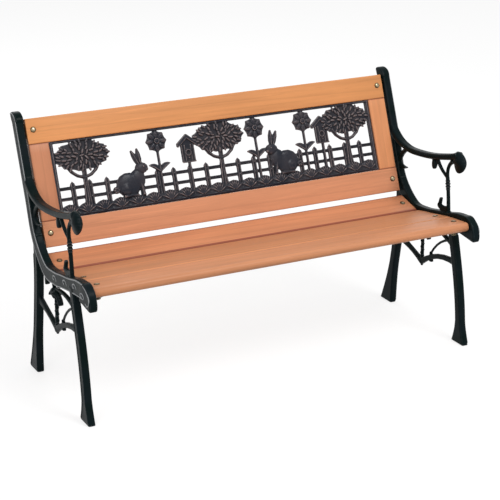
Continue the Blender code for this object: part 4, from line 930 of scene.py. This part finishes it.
def bird_house_relief(bm, x):
    """Planks, a ringed doorway with its perch, a sill, shingle lines and a pole."""
    wide = BIRD_HOUSE_WIDTH / 2
    ridge = OPENING_HEIGHT - RIM_TOP - BIRD_HOUSE_DROP
    eaves, floor = ridge - 1.5 * wide, ridge - 3.8 * wide
    for share in (-0.85, -0.45, 0.45, 0.85):
        line(bm, ((x + share * wide, floor + 0.001), (x + share * wide, eaves)), radius=0.0012, deep=0.0012)
    doorway, hole_z = [], floor + 1.25 * wide
    for step in range(17):
        angle = math.radians(360 * step / 16)
        doorway.append((x + 0.38 * wide * math.cos(angle), hole_z + 0.38 * wide * math.sin(angle)))
    line(bm, doorway, radius=0.0015, deep=0.0010)
    lump(bm, x, floor + 0.55 * wide, wide=0.0014, high=0.0014, proud=0.0034, deep=0.0010)
    line(bm, ((x - wide, floor), (x + wide, floor)), radius=0.0017, deep=0.0012)
    for way in (-1, 1):
        for drop in (0.10, 0.32, 0.54):
            top, foot = (x, ridge - drop * wide), (x + way * 1.45 * wide, eaves + (0.30 - drop) * wide)
            line(bm, (top, foot), radius=0.0014, deep=0.0001)
    line(bm, ((x, RIM_BOTTOM), (x, floor)), radius=0.0024, deep=0.0018)


def panel_casting():
    """The panel with its relief; places along it are shares of the trees' spacing."""
    bm = bmesh.new()
    chance = np.random.default_rng(7)
    rim_relief(bm)
    fence_relief(bm)
    grass_relief(bm)
    for place in (-1, 0, 1):
        tree_relief(bm, place * TREE_SPACING, chance)
    for place, facing in ((-0.68, 1), (0.47, -1)):
        rabbit_relief(bm, place * TREE_SPACING, facing)
    for place in (-0.46, 0.28, 0.66):
        flower_head_relief(bm, place * TREE_SPACING)
    for place in (-0.24, 0.80):
        bird_house_relief(bm, place * TREE_SPACING)
    panel = casting("panel", "back_panel", bm, PANEL_VOXEL, rounding=4, smoothing=1, keep=0.30)
    dress(panel, BRONZE, "dark_bronze", "back_panel")


# Bolts, washers, nuts and screws

def dome(radius, rise, skirt, steps):
    """The (radius, z) pairs of a domed head, from its top down to its skirt."""
    profile = [(AXIS_GAP, CLEAR + rise)]
    for step in range(1, steps + 1):
        angle = math.pi / 2 * step / steps
        profile.append((radius * math.sin(angle), CLEAR + skirt + (rise - skirt) * math.cos(angle)))
    return profile


def bolt_mesh(thickness, rise):
    """A bolt with a domed head of a rise, a grooved thread and a chamfered tip."""
    grip = thickness + LUG_THICKNESS + WASHER_THICKNESS + NUT_HEIGHT + 4 * CLEAR
    tip = -grip - TIP_LENGTH
    profile = dome(HEAD_RADIUS, rise, HEAD_SKIRT, 9)
    profile += [(HEAD_RADIUS - HEAD_EASE, CLEAR), (BOLT_RADIUS, CLEAR)]
    for step in range(THREAD_STEPS + 1):
        down = (grip - thickness + THREAD_END) * step / THREAD_STEPS
        profile.append((BOLT_RADIUS - THREAD_DEPTH * (step % 2), -thickness - down))
    profile += [(BOLT_RADIUS - TIP_CHAMFER, tip), (AXIS_GAP, tip)]
    bm = bmesh.new()
    turned(bm, profile)
    return outward(bm)


def washer_mesh():
    """A flat ring with eased edges."""
    ease = WASHER_EASE
    inner = BOLT_RADIUS + CLEAR
    section = [(inner, ease), (inner + ease, 0), (WASHER_RADIUS - ease, 0), (WASHER_RADIUS, ease),
               (WASHER_RADIUS, WASHER_THICKNESS - ease), (WASHER_RADIUS - ease, WASHER_THICKNESS),
               (inner + ease, WASHER_THICKNESS), (inner, WASHER_THICKNESS - ease)]
    return ring_mesh([lambda angle, r=r: r for r, _ in section], [z for _, z in section])


def nut_mesh():
    """A hexagon nut with both faces chamfered round."""
    def bore(angle):
        return BOLT_RADIUS + NUT_CLEAR

    def bore_edge(angle):
        return bore(angle) + NUT_BORE_EASE

    def hexagon(angle):
        return 0.5 * NUT_ACROSS_FLATS / math.cos((angle + math.pi / 6) % (math.pi / 3) - math.pi / 6)

    def chamfered(angle):
        return min(hexagon(angle), 0.5 * NUT_ACROSS_FLATS * NUT_ROUNDING)

    reaches = [bore_edge, chamfered, hexagon, hexagon, chamfered, bore_edge, bore, bore]
    heights = [0, 0, NUT_EASE, NUT_HEIGHT - NUT_EASE, NUT_HEIGHT, NUT_HEIGHT, NUT_HEIGHT - NUT_BORE_EASE,
               NUT_BORE_EASE]
    return ring_mesh(reaches, heights)


def screw_mesh():
    """A round screw head with a cross recess, on a short shank."""
    bm = bmesh.new()
    profile = dome(SCREW_HEAD_RADIUS, SCREW_HEAD_RISE, SCREW_SKIRT, 7)
    profile += [(SCREW_HEAD_RADIUS, CLEAR), (SCREW_RADIUS, CLEAR), (SCREW_RADIUS, -SCREW_SHANK),
                (SCREW_TIP, -SCREW_LENGTH)]
    turned(bm, profile, 24)
    head = new_object("screw_head", outward(bm))
    bm = bmesh.new()
    top = Matrix.Translation((0, 0, CLEAR + SCREW_HEAD_RISE))
    bmesh.ops.create_cube(bm, size=1, matrix=top @ Matrix.Diagonal((*RECESS_SIZE, 1)))
    slot = new_object("slot_a", bm)
    other = add_object("slot_b", slot.data)
    other.rotation_euler.z = math.pi / 2
    for cutter in (slot, other):
        cut = head.modifiers.new(cutter.name, "BOOLEAN")
        cut.operation = "DIFFERENCE"
        cut.object = cutter
    apply_modifiers(head)
    mesh = head.data
    for obj in (head, slot, other):
        bpy.data.objects.remove(obj)
    return mesh


def place_piece(name, mesh, matrix, node):
    obj = add_object(name, mesh)
    obj.matrix_world = matrix
    smooth_by_angle(obj, 35.0)
    dress(obj, ZINC, "yellow_zinc", node)


def hardware():
    """A bolt, washer and nut at both ends of every slat and rail, and the screws of the panel's ears."""
    bolts = {thickness: to_mesh("bolt", bolt_mesh(thickness, rise))
             for thickness, rise in ((RAIL_THICKNESS, HEAD_RISE), (SLAT_THICKNESS, SEAT_HEAD_RISE))}
    washer, nut = to_mesh("washer", washer_mesh()), to_mesh("nut", nut_mesh())
    for name, thickness, matrix in fixings():
        washer_z = -(thickness + LUG_THICKNESS + 2 * CLEAR + WASHER_THICKNESS)
        nut_z = washer_z - CLEAR - NUT_HEIGHT
        for end, x in (("left", -BOLT_X), ("right", BOLT_X)):
            label = f"{end}_{name}"
            at = Matrix.Translation((x, 0, 0)) @ matrix
            washer_at, nut_at = (at @ Matrix.Translation((0, 0, z)) for z in (washer_z, nut_z))
            place_piece(f"bolt_{label}", bolts[thickness], at, f"{label}_bolt")
            place_piece(f"washer_{label}", washer, washer_at, f"{label}_washer")
            place_piece(f"nut_{label}", nut, nut_at, f"{label}_nut")
    screw = screw_mesh()
    reach = (EAR_LENGTH + CLEAR) / 2
    deep = RAIL_THICKNESS + CLEAR + EAR_THICKNESS
    for edge, up in (("bottom", RAIL_HEIGHT - reach), ("top", RAIL_HEIGHT + OPENING_HEIGHT + reach)):
        for name, x in (("left", -EAR_SPREAD), ("middle", 0), ("right", EAR_SPREAD)):
            at = BACK @ Matrix.Translation((x, deep, up)) @ Matrix.Rotation(-math.pi / 2, 4, "X")
            place_piece(f"screw_{edge}_{name}", screw, at, f"panel_{edge}_{name}_screw")


def dowels():
    """The dowels inside the stile joints keep their CAD shape and get a wood of their own."""
    for name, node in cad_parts.items():
        if "_dowel_" in name:
            node.data.materials.clear()
            node.data.materials.append(BEECH)


# Studio

def seen_white(tree):
    """One for the rays that see a white background: from the camera, reflected or through glass."""
    path = add(tree, "ShaderNodeLightPath")
    seen = path.outputs["Is Camera Ray"]
    for name in ("Is Glossy Ray", "Is Transmission Ray"):
        seen = add(tree, "ShaderNodeMath", {0: seen, 1: path.outputs[name]}, operation="MAXIMUM").outputs[0]
    return seen


def stage_floor():
    """A pale floor that shows as near white and keeps the bench's shadow."""
    bm = bmesh.new()
    bmesh.ops.create_grid(bm, x_segments=1, y_segments=1, size=FLOOR_SIZE)
    floor = new_object("floor", bm)
    floor.location.z = -FLOOR_DROP
    material = bpy.data.materials.new("pale_floor")
    material.use_nodes = True
    tree = material.node_tree
    tree.nodes.clear()
    plain = add(tree, "ShaderNodeBsdfDiffuse", {"Color": (*grey(FLOOR_GREY), 1)}).outputs[0]
    shade = add(tree, "ShaderNodeBsdfDiffuse", {"Color": (*grey(SEEN_FLOOR_GREY), 1)}).outputs[0]
    glow = add(tree, "ShaderNodeEmission", {"Color": (1, 1, 1, 1), "Strength": SEEN_FLOOR_GLOW}).outputs[0]
    white = add(tree, "ShaderNodeAddShader", {0: shade, 1: glow}).outputs[0]
    out = add(tree, "ShaderNodeMixShader", {0: seen_white(tree), 1: plain, 2: white}).outputs[0]
    tree.links.new(out, tree.nodes.new("ShaderNodeOutputMaterial").inputs["Surface"])
    floor.data.materials.append(material)


def studio_world():
    """Even light from all round, behind a white background."""
    world = bpy.data.worlds.new("studio")
    world.use_nodes = True
    bpy.context.scene.world = world
    tree = world.node_tree
    ground = tree.nodes["Background"]
    levels = {"Value": seen_white(tree), "To Min": WORLD_LIGHT, "To Max": 1.0}
    strength = add(tree, "ShaderNodeMapRange", levels)
    ground.inputs["Color"].default_value = (1, 1, 1, 1)
    tree.links.new(strength.outputs["Result"], ground.inputs["Strength"])


def aimed_object(name, data, place, back):
    """An object at a place whose Z axis points along back."""
    obj = add_object(name, data)
    obj.location = place
    obj.rotation_mode = "QUATERNION"
    obj.rotation_quaternion = back.to_track_quat("Z", "Y")
    return obj


def lamps():
    for name, place, width, power in LAMPS:
        light = bpy.data.lights.new(name, "AREA")
        light.shape = "DISK"
        light.size = width
        light.energy = power
        aimed_object(name, light, place, Vector(place) - Vector(LAMP_AIM))


def camera():
    back = Vector((math.sin(CAMERA_AZIMUTH) * math.cos(CAMERA_ELEVATION),
                   -math.cos(CAMERA_AZIMUTH) * math.cos(CAMERA_ELEVATION), math.sin(CAMERA_ELEVATION)))
    data = bpy.data.cameras.new("camera")
    data.sensor_width = CAMERA_SENSOR
    data.lens = CAMERA_LENS
    bpy.context.scene.camera = aimed_object("camera", data, CAMERA_PLACE, back)


camera()
boards()
end_castings()
panel_casting()
hardware()
dowels()
stage_floor()
studio_world()
lamps()
bpy.context.scene.view_settings.view_transform = "Standard"
